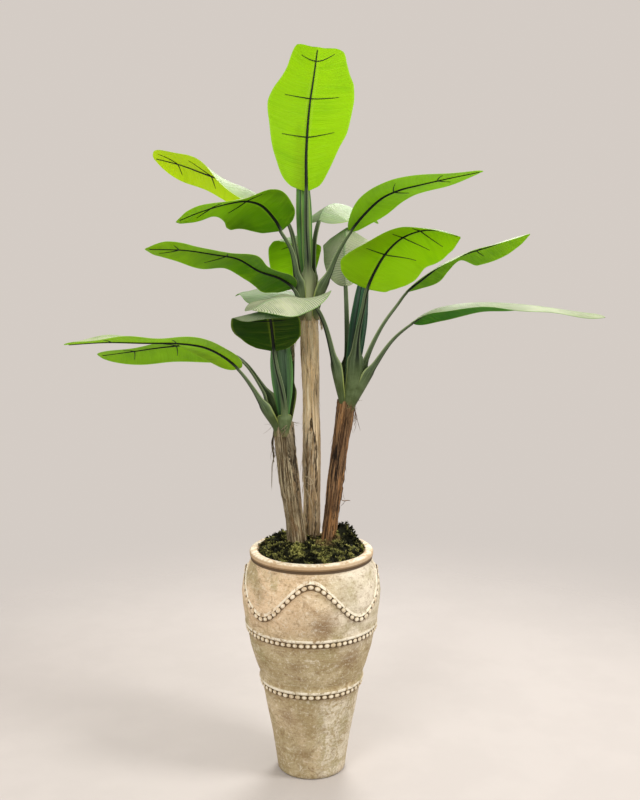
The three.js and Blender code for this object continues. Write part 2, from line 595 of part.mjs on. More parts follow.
  // A point a little under the flat facets of the sheet
  under(t, u, deep) {
    const cell = (places, v) => places.slice(1, -1).filter((p) => p < v).length;
    const row = cell(ALONG, t);
    const col = cell(ACROSS, u);
    const a = (t - ALONG[row]) / (ALONG[row + 1] - ALONG[row]);
    const b = (u - ACROSS[col]) / (ACROSS[col + 1] - ACROSS[col]);
    const at = (i, j) => this.surface(ALONG[row + i], ACROSS[col + j])
      .addScaledVector(this.normal(ALONG[row + i], ACROSS[col + j]), -SHEET / 2 - deep);
    const [first, corner, last] = [at(0, 0), b >= a ? at(0, 1) : at(1, 0), at(1, 1)];
    const [near, far] = b >= a ? [b, a] : [a, b];
    return first.clone().addScaledVector(corner.clone().sub(first), near)
      .addScaledVector(last.sub(corner), far);
  }
  wire(t, reach, side) {
    const shares = [0.02, 0.5, 1];
    const step = WIRE.half / this.blade.length;
    return loft(shares.map((s) => {
      const u = side * reach * s;
      const at = Math.min(0.98, t + WIRE.slant * s);
      const size = mix(1, 0.6, s);
      return [this.under(at - step * size, u, EDGE_SEAT), this.under(at + step * size, u, EDGE_SEAT),
        this.under(at, u, EDGE_SEAT + WIRE.depth * size)];
    }));
  }
}

// Everything is cut clear of what stands in it, with the same small gap all round
const root = new THREE.Group();
root.name = "potted_banana_plant";
function add(name, made, color, roughness = 0.7) {
  const mesh = made.getMesh();
  const g = new THREE.BufferGeometry();
  g.setAttribute("position", new THREE.BufferAttribute(mesh.vertProperties, 3));
  g.setIndex(new THREE.BufferAttribute(mesh.triVerts, 1));
  g.computeVertexNormals();
  const node = new THREE.Mesh(g, new THREE.MeshStandardMaterial({ color, roughness }));
  node.name = name;
  root.add(node);
}

const leaves = LEAVES.map((row) => new Leaf(row));
const sheets = leaves.map((leaf) => ({ leaf, body: leaf.sheet(0), fat: leaf.sheet(GAP) }));
const spears = SPEARS.map((s) => ({ name: s.name, body: spear(s, 0), fat: spear(s, GAP) }));
const stems = [];
for (const { leaf } of sheets) {
  const wires = leaf.wires.flatMap(([t, reach]) => [-1, 1].map((side) => leaf.wire(t, reach, side)));
  let body = fuse([leaf.stemSolid(0), ...wires]);
  for (const s of spears) body = body.subtract(s.fat);
  for (const other of sheets) body = body.subtract(other.fat);
  for (const earlier of stems) body = body.subtract(earlier.fat);
  stems.push({ name: leaf.name, body: largest(body), fat: leaf.stemSolid(GAP) });
}

const trunks = TRUNKS.map((t) => {
  const { body, path } = trunk(t, 0);
  const fat = trunk(t, TRUNK_GAP).body;
  let made = fuse([body, ...t.flaps.map((strip) => flap(t, path, strip))]);
  for (const piece of [...stems, ...spears, ...sheets]) made = made.subtract(piece.fat);
  return { name: t.name, body: largest(made), fat };
});

let cushion = moss();
let soil = fill();
for (const t of trunks) {
  cushion = cushion.subtract(t.fat);
  soil = soil.subtract(t.fat);
}

add("urn", urn(), 0xb9a88c, 0.85);
add("potting_fill", soil, 0x3b3026, 0.95);
add("moss", largest(cushion), 0x3d4a20, 0.95);
for (const t of trunks) add("trunk_" + t.name, t.body, 0x9c7d55, 0.9);
for (const s of spears) add("furled_leaf_" + s.name, s.body, 0x4f7f35, 0.5);
for (const s of sheets) add("blade_" + s.leaf.name, s.body, 0x5fa51e, 0.5);
for (const s of stems) add("stalk_" + s.name, s.body, 0x44552f, 0.5);

export default root;
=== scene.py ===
"""Potted banana plant: pleated leaves on grooved stalks, fibrous trunks and moss in a beaded urn."""

import json
import math

import bpy
import numpy as np
from bpy.props import FloatProperty, FloatVectorProperty, IntProperty, PointerProperty
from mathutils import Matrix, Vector

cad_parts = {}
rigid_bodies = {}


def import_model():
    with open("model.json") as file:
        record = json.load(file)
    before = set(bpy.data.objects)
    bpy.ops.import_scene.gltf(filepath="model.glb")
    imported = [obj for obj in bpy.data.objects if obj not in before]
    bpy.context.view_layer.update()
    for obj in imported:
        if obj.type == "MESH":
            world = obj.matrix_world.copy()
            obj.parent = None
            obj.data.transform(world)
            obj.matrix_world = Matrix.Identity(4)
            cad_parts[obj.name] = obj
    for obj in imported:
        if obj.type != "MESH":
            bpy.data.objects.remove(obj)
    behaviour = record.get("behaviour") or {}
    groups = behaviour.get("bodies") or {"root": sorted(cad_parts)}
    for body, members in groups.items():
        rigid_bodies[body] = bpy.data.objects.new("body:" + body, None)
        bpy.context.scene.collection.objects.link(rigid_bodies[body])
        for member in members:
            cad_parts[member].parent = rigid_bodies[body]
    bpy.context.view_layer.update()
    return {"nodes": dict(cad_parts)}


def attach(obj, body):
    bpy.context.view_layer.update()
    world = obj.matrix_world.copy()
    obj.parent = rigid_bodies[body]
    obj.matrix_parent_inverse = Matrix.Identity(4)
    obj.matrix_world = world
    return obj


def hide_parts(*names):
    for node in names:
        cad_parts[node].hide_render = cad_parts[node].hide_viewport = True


bl_info = {
    "name": "Potted Banana Plant",
    "version": (1, 0, 0),
    "blender": (4, 5, 0),
    "location": "View3D > Sidebar > Banana Plant",
    "description": "Builds a tall banana plant in a beaded urn around its packed frame",
    "category": "Object",
}

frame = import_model()
MM = 0.001
SEED = 11

# Camera: place and tilt, as read from the photograph's horizon and the size of the urn
CAMERA_PLACE = (0.029, -3.88, 1.925)
CAMERA_TILT = 9.5
CAMERA_LENS = 54
CAMERA_SENSOR = 36

# Lights: place, what each points at, size and colour
LIGHTS = {
    "key": ((2.9, -1.3, 3.9), (0.0, 0.0, 1.2), 1.3, (1, 0.97, 0.93)),
    "front": ((-1.6, -3.4, 3.0), (0.0, 0.0, 1.0), 2.0, (1, 0.98, 0.95)),
    "back": ((0.5, 3.0, 3.6), (0.0, 0.0, 1.8), 1.8, (1, 0.98, 0.95)),
}

# Urn in millimetres: outside from the base up as height and radius, then down the inside
URN_OUTSIDE = [
    (0, 104), (1.5, 110), (6, 115), (60, 122), (130, 132), (206, 147), (300, 164), (321, 169.5),
    (325, 174.5), (329, 177), (334, 177), (338, 174.5), (341, 173), (352, 174), (387, 187), (449, 205),
    (513, 216.5), (519, 219), (523, 223.5), (529, 224), (533, 221.5), (592, 230), (634, 233),
    (676, 228), (707, 218), (724, 209.5), (738, 204), (749, 202), (755, 205.5), (761, 206.5),
    (767, 206.5), (771, 204), (774, 199),
]
URN_INSIDE = [(774, 182), (772, 178), (768, 175.5), (744, 175), (700, 192), (600, 203), (379, 157),
              (28, 92), (28, 2)]
RIM_TOP = 774
# Bead rows: middle height, rise and fall, beads, half length of a bead
BEAD_ROWS = [("ring_high", 511, 0, 66, 0.0102), ("ring_low", 316, 0, 48, 0.0109),
             ("rope", 646, 62, 80, 0.0112)]
ROPE_WAVES = 4
ROPE_LINE = 9.5  # how far the raised line runs above the rope's beads
ROPE_LINE_THICK = (3.2, 2.8)
ROW_POINTS = 320
WALL_STEP = 9  # longest step of the wall's outline

# Moss: radius, height at the edge, dome and mounds (x, y, reach, rise)
MOSS_RADIUS = 173.5
MOSS_TOP = 772
MOSS_FOOT = 750.5
MOSS_DOME = 14
MOUNDS = [(-95, 60, 62, 28), (112, 78, 42, 60), (12, -70, 50, 12), (-60, -60, 45, 14), (120, -30, 40, 12)]
MOSS_LUMPS = [(3.5, 24), (3, 48), (2, 90)]  # finer lumps: rise, and how many lie side by side
TUFT_BLADES = 6
TUFT_LENGTHS = (7, 12)

# Trunks: axis from the hole to the crown, foot and crown radius. strips: loose strips (turn in
# degrees, from and to height, how far out, width). peels: where the outer bark has come away,
# as rows of height, turn of the middle and half angle. straws: stray fibres, point by point.
TRUNKS = {
    "middle": dict(
        axis=[(-2, 98, 690), (2, 95, 900), (0, 88, 1200), (-8, 78, 1572)], foot=28, crown=31,
        strips=[(204, 1562, 1392, 30, 30), (196, 1555, 1440, 16, 22), (345, 1558, 1500, 9, 20),
                (262, 1160, 1090, 9, 16), (80, 1556, 1470, 14, 22), (224, 1180, 950, 9, 22)],
        peels=[(1222, 272, 0), (1160, 268, 14), (1109, 264, 40), (980, 262, 44), (850, 266, 34),
               (760, 268, 20), (700, 268, 0)],
        straws=[[(-24, 60, 1006), (-8, 57, 1002), (5, 57, 986), (10, 60, 952)],
                [(-16, 61, 985), (-4, 57, 978), (9, 58, 984), (16, 62, 1000)],
                [(-20, 62, 965), (-12, 58, 950), (-2, 57, 925), (4, 60, 905)]]),
    "left": dict(
        axis=[(-40, 0, 690), (-50, -2, 820), (-74, 0, 1020), (-92, 2, 1205)], foot=30, crown=35,
        strips=[(170, 1188, 1070, 9, 22), (300, 1196, 1090, 7, 24), (60, 1190, 1090, 12, 20)],
        peels=[(1190, 330, 0), (1150, 320, 26), (1090, 318, 30), (1010, 322, 18), (960, 325, 0)],
        straws=[[(-120, -30, 1132), (-104, -40, 1158), (-90, -43, 1176), (-76, -42, 1192)],
                [(-99, -38, 1182), (-92, -42, 1188), (-84, -44, 1196), (-78, -42, 1200)],
                [(-106, -20, 1104), (-119, -12, 1092), (-128, -10, 1066), (-130, -10, 1022),
                 (-131, -10, 983)]]),
    "right": dict(
        axis=[(52, 58, 690), (64, 58, 830), (90, 60, 1060), (118, 60, 1272)], foot=26, crown=30,
        strips=[(285, 1262, 1190, 6, 20), (10, 1250, 1180, 9, 18)],
        peels=[(1075, 356, 0), (1000, 350, 26), (868, 338, 50), (760, 335, 46), (690, 335, 40)],
        straws=[[(98, 44, 930), (110, 38, 926), (122, 42, 927), (131, 48, 924)],
                [(108, 52, 1346), (97, 46, 1356), (85, 44, 1354), (78, 44, 1343), (84, 44, 1333),
                 (91, 44, 1338), (88, 44, 1345)],
                [(70, 34, 880), (78, 30, 872), (86, 34, 868), (92, 40, 872)]]),
}
PEEL_DEPTH = 3.0
PEEL_RAGGED = 7  # how far the torn edge of a peel wanders, in degrees
STRIP_THREADS = 7
FIBRE_LENGTH = 46
FIBRE_SPIN = 0.22  # how far a fibre turns out of the trunk's own direction, in radians

# Furled leaves: axis, radius from the foot to the tip, and which colours they take, painted highlight among
# them
SPEARS = {
    "middle": ([(-8, 78, 1546), (-20, 82, 1760), (-27, 88, 1960), (-35, 104, 2185)],
               (9, 15, 24, 27, 22, 13, 3), "striped"),
    "left": ([(-90, 2, 1178), (-92, -2, 1290), (-100, -4, 1430), (-104, 2, 1590)],
             (12, 22, 33, 38, 32, 19, 3), "edged"),
    "right": ([(118, 62, 1246), (142, 60, 1420), (166, 54, 1620), (184, 52, 1765)],
              (10, 19, 27, 30, 25, 14, 3), "dark"),
}

# Colours of the furled leaves, and where a painted highlight brightens them: share of the turn, half width,
# strength
FURLED_LOOKS = {
    "striped": (dict(dark=(0.010, 0.050, 0.010), green=(0.06, 0.19, 0.02), pale=(0.46, 0.60, 0.12),
                     grey=(0.22, 0.30, 0.16)), [(0.58, 0.05, 0.45)]),
    "edged": (dict(dark=(0.012, 0.040, 0.012), green=(0.040, 0.10, 0.035), pale=(0.09, 0.26, 0.05),
                   grey=(0.20, 0.22, 0.19)), [(0.95, 0.07, 0.6), (0.52, 0.10, 0.8)]),
    "dark": (dict(dark=(0.003, 0.020, 0.010), green=(0.008, 0.055, 0.025), pale=(0.05, 0.20, 0.06),
                  grey=(0.10, 0.18, 0.12)), [(0.95, 0.05, 0.5)]),
}

# Open leaves, as in the frame: path of stalk and blade, how many points belong to the stalk, the
# top face's rough direction, how far each half lifts at its base, middle and tip, half width, the
# widest place, how full the base and how blunt the tip is, and edge wave (height, count, phase).
# edges: instead, rows of the place along the blade and the half width on the left and right.
# wires: place along the blade and reach. sweep: how far the left and right wires run towards the
# tip. cloth: which of the lit and shaded copies of the cloth it takes. tone: the painted light and
# painted shade of the underside at the base and the tip, lit where high and shaded where low. pale:
# how far painted sheen makes the top pale. notch: how far the tip's two lobes stand past its middle.
# sheath: height and half width against the usual ones. cream: how pale the sheath is.
LEAVES = {
    "middle_top": dict(
        crown="middle", stalk=4, up=(0, 1, 0),
        path=[(-8, 54, 1548), (-9, 48, 1640), (-10, 44, 1720), (-15, 45, 1830), (-15, 45, 1950),
              (-15, 60, 2080), (-5, 80, 2215), (10, 110, 2320), (22, 150, 2412)],
        left=(6, 8, 10), right=(6, 8, 10),
        edges=[(0.04, 44, 52), (0.11, 66, 79), (0.21, 89, 97), (0.3, 106, 112), (0.43, 131, 125),
               (0.58, 140, 138), (0.65, 142, 130), (0.77, 134, 103), (0.84, 117, 91), (0.91, 102, 83),
               (0.97, 88, 70)],
        wave=(3, 2, 0), wires=[(0.36, 0.68), (0.62, 0.64), (0.89, 0.6)], sweep=(0.05, 0.018),
        cloth="bright", tone=(0.8, 0.8), pale=0.6, notch=20, sheath=(1.02, 1.05), cream=1.0),
    "middle_upper_left": dict(
        crown="middle", stalk=4, up=(0, 0, 1),
        path=[(-30, 88, 1548), (-36, 98, 1640), (-46, 112, 1740), (-75, 130, 1850), (-130, 150, 1905),
              (-205, 185, 1955), (-285, 225, 1985), (-360, 260, 2010), (-445, 300, 2040),
              (-545, 340, 2065)],
        left=(-22, 27, 30), right=(-45, -37, -33), half=125, wide=0.45, wave=(6, 2, 0),
        wires=[(0.52, 0.6), (0.8, 0.6)], sweep=(0.13, 0.01), cloth="vivid", tone=(0.9, 1.0),
        pale=0.3),
    "middle_left": dict(
        crown="middle", stalk=3, up=(0, 0, 1),
        path=[(-28, 58, 1548), (-42, 42, 1660), (-62, 28, 1765), (-95, 15, 1825), (-115, 0, 1860),
              (-155, -30, 1905), (-200, -70, 1920), (-245, -110, 1915), (-300, -155, 1900),
              (-355, -190, 1880), (-405, -220, 1858)],
        left=(45, 8, 25), right=(-36, -38, -25),
        edges=[(0.04, 52, 66), (0.13, 88, 104), (0.27, 112, 132), (0.38, 122, 130), (0.47, 127, 108),
               (0.58, 125, 78), (0.68, 118, 58), (0.86, 86, 46), (0.94, 52, 38)],
        wave=(6, 2, 1), wires=[(0.4, 0.6), (0.72, 0.6)], sweep=(-0.01, 0.10), cloth="fresh",
        tone=(-0.05, 1.1), pale=0.9),
    "middle_low_left": dict(
        crown="middle", stalk=2, up=(0, 0, 1),
        path=[(-33, 66, 1548), (-40, 45, 1605), (-55, 25, 1640), (-100, 0, 1675), (-165, -30, 1700),
              (-230, -65, 1740), (-300, -100, 1755), (-390, -140, 1770), (-505, -190, 1775)],
        left=(22, 5, 25), right=(-38, -28, -15),
        edges=[(0.04, 38, 60), (0.13, 70, 92), (0.27, 66, 62), (0.42, 112, 80), (0.57, 124, 112),
               (0.76, 64, 84), (0.9, 62, 76), (0.96, 40, 46)],
        wave=(6, 2, 2), wires=[(0.5, 0.6), (0.8, 0.6)], sweep=(0.05, 0.09), cloth="fresh",
        tone=(-0.25, 1.0), pale=0.2),
    "middle_right": dict(
        crown="middle", stalk=4, up=(0, 0, 1),
        path=[(14, 60, 1548), (24, 40, 1610), (52, 20, 1680), (88, 0, 1765), (125, -10, 1825),
              (170, -20, 1880), (225, -40, 1930), (280, -60, 1955), (340, -80, 1970),
              (430, -105, 1990), (530, -130, 2010)],
        left=(-26, -8, -3), right=(20, 14, 5), half=120, wide=0.55, full=1.9, wave=(3, 2, 0.5),
        wires=[(0.4, 0.6), (0.7, 0.6)], sweep=(0.06, 0.06), cloth="fresh", tone=(0.6, 1.0), pale=0.6),
    "middle_back_right": dict(
        crown="middle", stalk=3, up=(0, 0, 1),
        path=[(8, 96, 1548), (6, 112, 1720), (12, 120, 1800), (25, 132, 1855), (45, 190, 1895),
              (75, 270, 1910), (115, 360, 1905), (160, 460, 1885), (190, 540, 1860)],
        left=(-30, -26, -20), right=(-34, -28, -20), half=115, wide=0.45, wave=(8, 2, 0),
        wires=[(0.4, 0.5)], cloth="fresh", tone=(0.4, 0.4), pale=0.4),
    "middle_back": dict(
        crown="middle", stalk=2, up=(0, 0.3, 1),
        path=[(-12, 104, 1548), (-24, 128, 1700), (-36, 155, 1778), (-48, 190, 1805), (-56, 225, 1788),
              (-60, 254, 1735), (-60, 272, 1670), (-59, 282, 1615)],
        left=(-18, -14, -10), right=(-22, -18, -14), half=92, wide=0.3, wave=(8, 2, 0),
        wires=[(0.4, 0.5)], cloth="fresh", tone=(0.2, 0.6), pale=0.3),
    "left_front_arm": dict(
        crown="left", stalk=3, up=(0, 0, 1),
        path=[(-112, -14, 1180), (-146, -30, 1250), (-186, -50, 1325), (-230, -75, 1390),
              (-280, -95, 1435), (-335, -115, 1465), (-410, -140, 1480), (-515, -170, 1485),
              (-635, -200, 1490), (-755, -230, 1485)],
        left=(16, 17, 15), right=(-34, 5, 8), half=112, wide=0.4, wave=(4, 3, 0),
        wires=[(0.4, 0.5), (0.75, 0.6)], cloth="fresh", tone=(0.5, 1.0), pale=1.0),
    "left_back_arm": dict(
        crown="left", stalk=4, up=(0, 0, 1),
        path=[(-112, 18, 1180), (-134, 14, 1270), (-172, 12, 1340), (-207, 12, 1390), (-245, 28, 1420),
              (-305, 54, 1440), (-380, 80, 1450), (-485, 102, 1440), (-600, 118, 1422),
              (-715, 128, 1405)],
        left=(22, 12, 14), right=(-40, -34, -26), half=116, wide=0.45, blunt=0.4, wave=(3, 2, 1),
        wires=[(0.45, 0.6), (0.75, 0.6)], cloth="fresh", tone=(0.35, 0.6), pale=0.6),
    "left_front": dict(
        crown="left", stalk=4, up=(0, 0, 1), sheath=(0.55, 1),
        path=[(-86, -26, 1180), (-86, -42, 1250), (-95, -52, 1320), (-110, -60, 1390),
              (-118, -68, 1445), (-121, -88, 1490), (-124, -118, 1535), (-127, -155, 1570),
              (-130, -200, 1590), (-132, -250, 1590), (-134, -300, 1572)],
        left=(2, -10, -12), right=(0, -14, -15),
        edges=[(0.04, 46, 58), (0.13, 76, 95), (0.27, 94, 118), (0.45, 96, 124), (0.62, 90, 118),
               (0.78, 74, 95), (0.92, 50, 62)],
        wave=(6, 2, 0), wires=[(0.4, 0.5)], cloth="deep", tone=(0.7, 0.9), pale=0.5),
    "left_back": dict(
        crown="left", stalk=4, up=(0, 0, 1),
        path=[(-80, 30, 1180), (-68, 36, 1295), (-64, 62, 1435), (-70, 105, 1520), (-90, 145, 1570),
              (-118, 190, 1600), (-148, 245, 1615), (-178, 305, 1618), (-205, 365, 1605)],
        left=(-8, -8, -8), right=(-8, -8, -8), half=105, wide=0.45, blunt=0.5, wave=(7, 2, 0),
        wires=[(0.4, 0.5)], cloth="middle", tone=(0.5, 0.5), pale=0.35),
    "right_front": dict(
        crown="right", stalk=4, up=(0, 0.55, 1), sheath=(1.2, 1.2),
        path=[(122, 38, 1246), (144, 18, 1360), (150, 0, 1480), (168, -10, 1580), (180, -15, 1640),
              (205, -25, 1700), (240, -50, 1760), (285, -80, 1805), (345, -125, 1830),
              (400, -170, 1830), (455, -210, 1812)],
        left=(-38, -45, -31), right=(-6, -18, -14),
        edges=[(0.03, 58, 80), (0.06, 72, 110), (0.1, 88, 135), (0.2, 112, 155), (0.3, 122, 150),
               (0.4, 124, 138), (0.6, 120, 115), (0.8, 99, 95), (0.92, 66, 62)],
        wave=(5, 2, 0), wires=[(0.3, 0.7), (0.5, 0.6), (0.66, 0.6)], sweep=(0.17, 0.03),
        cloth="bright", tone=(0.8, 1.2), pale=0.5),
    "right_arm": dict(
        crown="right", stalk=5, up=(0, 0, 1),
        path=[(138, 54, 1246), (158, 52, 1320), (182, 55, 1415), (230, 60, 1515), (280, 65, 1585),
              (310, 65, 1625), (365, 60, 1670), (425, 55, 1715), (500, 50, 1750), (580, 40, 1775),
              (650, 30, 1800), (705, 20, 1815)],
        left=(-38, -34, -28), right=(5, 4, 3),
        edges=[(0.08, 36, 50), (0.24, 70, 84), (0.36, 50, 96), (0.46, 30, 98), (0.58, 98, 98),
               (0.78, 86, 80), (0.92, 55, 50)],
        wave=(3, 2, 0), wires=[(0.6, 0.5)], cloth="fresh", tone=(0.15, 0.6), pale=0.9),
    "right_low_arm": dict(
        crown="right", stalk=4, up=(0, 0, 1),
        path=[(134, 48, 1238), (170, 34, 1325), (212, 24, 1400), (268, 14, 1480), (325, 5, 1530),
              (385, -10, 1570), (455, -20, 1590), (555, -45, 1600), (680, -70, 1595),
              (805, -95, 1580), (925, -120, 1560)],
        left=(-36, -16, 4), right=(-2, -3, -5), half=106, wide=0.35, wave=(3, 3, 0),
        wires=[(0.4, 0.5)], cloth="middle", tone=(0.3, 0.9), pale=0.75),
    "right_cross": dict(
        crown="right", stalk=4, up=(0, 0, 1), sheath=(1.15, 0.85),
        path=[(104, 46, 1242), (90, 22, 1335), (70, -16, 1435), (42, -62, 1540), (16, -96, 1592),
              (-20, -138, 1616), (-64, -188, 1629), (-106, -234, 1628), (-142, -276, 1617),
              (-174, -314, 1600)],
        left=(46, -28, -18), right=(18, -10, -12), half=108, wide=0.4, full=3.2, wave=(5, 2, 0),
        wires=[(0.4, 0.5)], cloth="middle", tone=(0.9, 0.6), pale=1.0),
    "right_back": dict(
        crown="right", stalk=3, up=(0, -0.7, 1),
        path=[(112, 82, 1246), (120, 92, 1395), (118, 100, 1530), (114, 106, 1640), (110, 116, 1700),
              (110, 138, 1760), (115, 178, 1798), (116, 240, 1822), (124, 320, 1828),
              (135, 400, 1815)],
        left=(-50, -42, -30), right=(-40, -30, -20), half=100, wide=0.4, wave=(7, 2, 0),
        wires=[(0.4, 0.5)], cloth="middle", tone=(0.5, 0.5), pale=0.8),
}
# Finishes. Noises: scale, or scales along the axes, then detail, roughness and twist. Washes, laid
# one over the other: what the wash follows, how strong it is and its colour. It follows a source as
# it is, or a source with the values at which the wash starts and is full.
CLAY_NOISES = {
    "clouds": (11, 6, 0.66, 0.8), "patches": (4.2, 4, 0.55, 1.0), "blots": (26, 5, 0.7, 1.4),
    "flecks": (100, 4, 0.7), "grit": (230, 3, 0.7), "rubbed": ((12, 12, 40), 6, 0.7, 0.8),
    "turned": ((14, 14, 420), 3, 0.6),
}
CLAY_REGIONS = [
    (("clouds", 0.42, 0.58), 1, "cream"),
    (("x", 0.06, -0.12), ("z", 0.46, 0.62), 0.75, "peach"),
    (("z", 0.60, 0.46), 0.55, "olive"),
    # Painted highlight: the wall's right side is made pale, high up and near the foot.
    (("x", 0.02, 0.14), ("z", 0.42, 0.6), 0.7, "pale"),
    (("x", 0.0, 0.05), ("z", 0.34, 0.26), ("blots", 0.40, 0.56), 0.7, "pale"),
    (("x", 0.0, 0.05), ("z", 0.34, 0.26), ("clouds", 0.50, 0.60), 0.6, "olive"),
    (("patches", 0.50, 0.62), 0.7, "olive"),
    (("patches", 0.44, 0.34), 0.5, "cream"),
]
# Middles of the brown patches on the urn, how far each reaches and how strong it is
BROWN_PATCHES = [((0.04, -0.225, 0.575), 0.07, 0.9), ((0.12, -0.15, 0.45), 0.065, 0.85),
                 ((-0.05, -0.19, 0.43), 0.04, 0.5), ((-0.07, -0.12, 0.235), 0.05, 0.7),
                 ((-0.16, -0.15, 0.66), 0.045, 0.45), ((-0.02, -0.11, 0.10), 0.04, 0.5),
                 ((-0.2, 0.12, 0.6), 0.09, 0.6), ((0.15, 0.14, 0.4), 0.08, 0.5)]
PATCH_CORE = 0.045  # how far from its middle a patch is at its strongest
PATCH_RAGGED = 0.09  # how far its edge wanders
CLAY_WEAR = [
    (("rubbed", 0.54, 0.68), 0.45, "brown"), (("rubbed", 0.46, 0.34), 0.2, "pale"),
    (("flecks", 0.54, 0.64), 0.4, "brown"), (("flecks", 0.45, 0.34), 0.4, "pale"),
    (("blots", 0.54, 0.66), 0.5, "brown"), (("blots", 0.43, 0.31), 0.5, "pale"),
    (("turned", 0.54, 0.68), 0.2, "brown"), (("turned", 0.46, 0.34), 0.12, "pale"),
    (("grit", 0.58, 0.70), 0.55, "brown"), (("grit", 0.40, 0.30), 0.4, "pale"),
]
BEAD_WEAR = [
    (("crown", 0.30, 0.80), 0.6, "cream"), (("crown", 0.60, 0.95), ("blots", 0.62, 0.46), 0.8, "pale"),
    (("crown", 0.52, 0.30), 1, "crease"),
]
# Heights on the wall in metres: groove and ledge from a bead row's middle, lip and neck of the rim, where
# painted shade and a painted shadow line lie under the rim
GROOVE_AT, LEDGE_AT = -0.001, 0.0145
LIP_AT, NECK_AT = 0.7560, 0.7495
OUTSIDE_HOLLOW = (0.196, 0.200)  # distances from the axis between which the waved row's washes start
ROW_WEAR_AND_SHADOW = [
    ("shown", ("groove", 0.0112, 0.0085), 0.9, "crease"),
    ("shown", ("ledge", 0.0068, 0.0030), ("blots", 0.64, 0.46), 0.85, "pale"),
    # Painted shadow: a brown band on the wall just below each row of beads.
    ("shown", ("offset", -0.03, -0.012), ("offset", 0.0, -0.012), 0.35, "brown"),
]
RIM_WEAR_AND_SHADE = [
    # Painted shade: a brown band under the rim's lip and a dark painted shadow line at its neck.
    (("z", 0.756, 0.764), 0.8, "rim"), (("lip", 0.0060, 0.003), 0.9, "brown"),
    (("neck", 0.0070, 0.0040), 0.95, "crease"), (("z", 0.768, 0.773), ("blots", 0.62, 0.42), 0.75, "pale"),
    (("radius", 0.184, 0.179), ("z", 0.70, 0.72), 0.8, "brown"),
]
BARK_NOISES = {
    "threads": ((22, 22, 26), 5, 0.72, 1.0), "strands": ((8, 8, 9), 5, 0.66, 1.4),
    "ropes": ((5, 5, 4), 3, 0.6, 1.4), "patches": ((1.8, 1.8, 9), 4, 0.6, 0.8),
}
BARK_OUTER = [(("fair strands", 0.43, 0.53), 1, "tan"), (("ropes", 0.50, 0.58), 0.7, "pale")]
BARK_INNER = [(("strands", 0.44, 0.54), 1, "inner"), (("ropes", 0.52, 0.58), 0.7, "pale")]
BARK_WEAR_AND_SHADE = [
    (("patches", 0.50, 0.62), 0.65, "inner"), (("threads", 0.53, 0.64), 0.85, "pale"),
    (("fair threads", 0.46, 0.38), 0.9, "dark"), (("fair ropes", 0.46, 0.40), 0.8, "dark"),
    # Painted shade: nearly black where the bark lies deep in its splits and along the torn edges of its
    # peels.
    ("husk", ("strands", 0.44, 0.54), 0.7, "pale"), (("deep", 0.40, 0.05), 0.9, "black"),
]
# Colours of each trunk's bark beside its main one, and how fair it is
BARKS = {
    "middle": (dict(dark=(0.13, 0.072, 0.028), pale=(0.98, 0.86, 0.62), inner=(0.70, 0.49, 0.25)), 0.05),
    "left": (dict(dark=(0.045, 0.028, 0.011), pale=(0.52, 0.45, 0.29), inner=(0.17, 0.09, 0.035)), 0.0),
    "right": (dict(dark=(0.022, 0.012, 0.006), pale=(0.42, 0.25, 0.12), inner=(0.50, 0.245, 0.085)), 0.0),
}
# Underside: painted light where the tone is high and painted shade where it is low, over the cloth's shaded
# colour.
LEAF_UNDER = [
    (("lit", 0, 1), 1, "high"), (("broad", 0.50, 0.68), 0.3, "low"), (("broad", 0.46, 0.32), 0.25, "high"),
    (("out", 0.93, 1.0), 0.5, "edge"), (("out", 0.11, 0.075), ("out", 0.03, 0.055), 0.3, "edge"),
]
# Top: painted sheen makes it pale as far as the leaf's pale value says.
LEAF_TOP = [
    (("broad", 0.36, 0.62), 1, "sage"), (("paler", 0, 1), 1, "pale"),
    ("lined", ("ribs", 0.55, 0.95), ("clouds", 0.38, 0.52), 1, "rib"),
    (("out", 0.06, 0.02), 0.7, "mint"), (("out", 0.94, 1.0), 0.5, "high"),
]
LEAF_VEINS = [(("veins", 0.54, 0.66), 0.2, "low"), (("veins", 0.46, 0.34), 0.2, "edge")]
LOWEST_TURN = 1 / 3  # where a stalk is lowest, as a share of the way round; its rims are as far again
# Stalk: a painted shade line, nearly black, along its lowest side.
STALK_WASHES = [
    (("lines", 0.38, 0.64), 1, "ash"), (("below", 0.075, 0.035), ("place", 0.25, 0.5), 1, "black"),
    (("rim", 0.075, 0.03), 0.8, "edge"),
]
SHEATH_WASHES = [
    (("clouds", 0.38, 0.66), 1, "sheath"), (("lines", 0.56, 0.74), 0.45, "edge"), ("cream", 0.85, "cream"),
    (("rim", 0.075, 0.03), 0.9, "rim"),
]
# The midrib within the blade is painted nearly black as shade.
STALK_ENDS = [
    (("place", 0.98, 1.06), 1, "black"), (("place", 0.10, 0.0), ("lines", 0.40, 0.60), 0.8, "foot"),
]
# black: the painted shade of the stalk's lowest line and of the midrib.
STALK_COLOURS = {
    "stalk": (0.035, 0.062, 0.022), "ash": (0.12, 0.16, 0.085), "black": (0.002, 0.006, 0.002),
    "edge": (0.26, 0.33, 0.16), "olive": (0.05, 0.075, 0.02), "sheath": (0.11, 0.155, 0.065),
    "rim": (0.30, 0.36, 0.09), "cream": (0.34, 0.38, 0.20), "foot": (0.20, 0.14, 0.07),
}
FURLED_NOISES = {"strips": ((3.4, 3.4, 0.7), 3, 0.6, 0.2), "lines": ((22, 22, 2.5), 3, 0.6)}
# Painted highlight on each pleat's raised outer edge and painted shade where each pleat lies lowest, beside
# that edge.
FURLED_WASHES = [
    (("fold", 0.75, 1.0), 0.45, "pale"), (("fold", 0.35, 0.0), 0.85, "dark"),
    (("lines", 0.55, 0.70), 0.3, "grey"),
]
MOSS_NOISES = {"clumps": (26, 4, 0.66, 1.0), "fine": (170, 3, 0.65), "regions": (11, 3, 0.55, 0.4)}
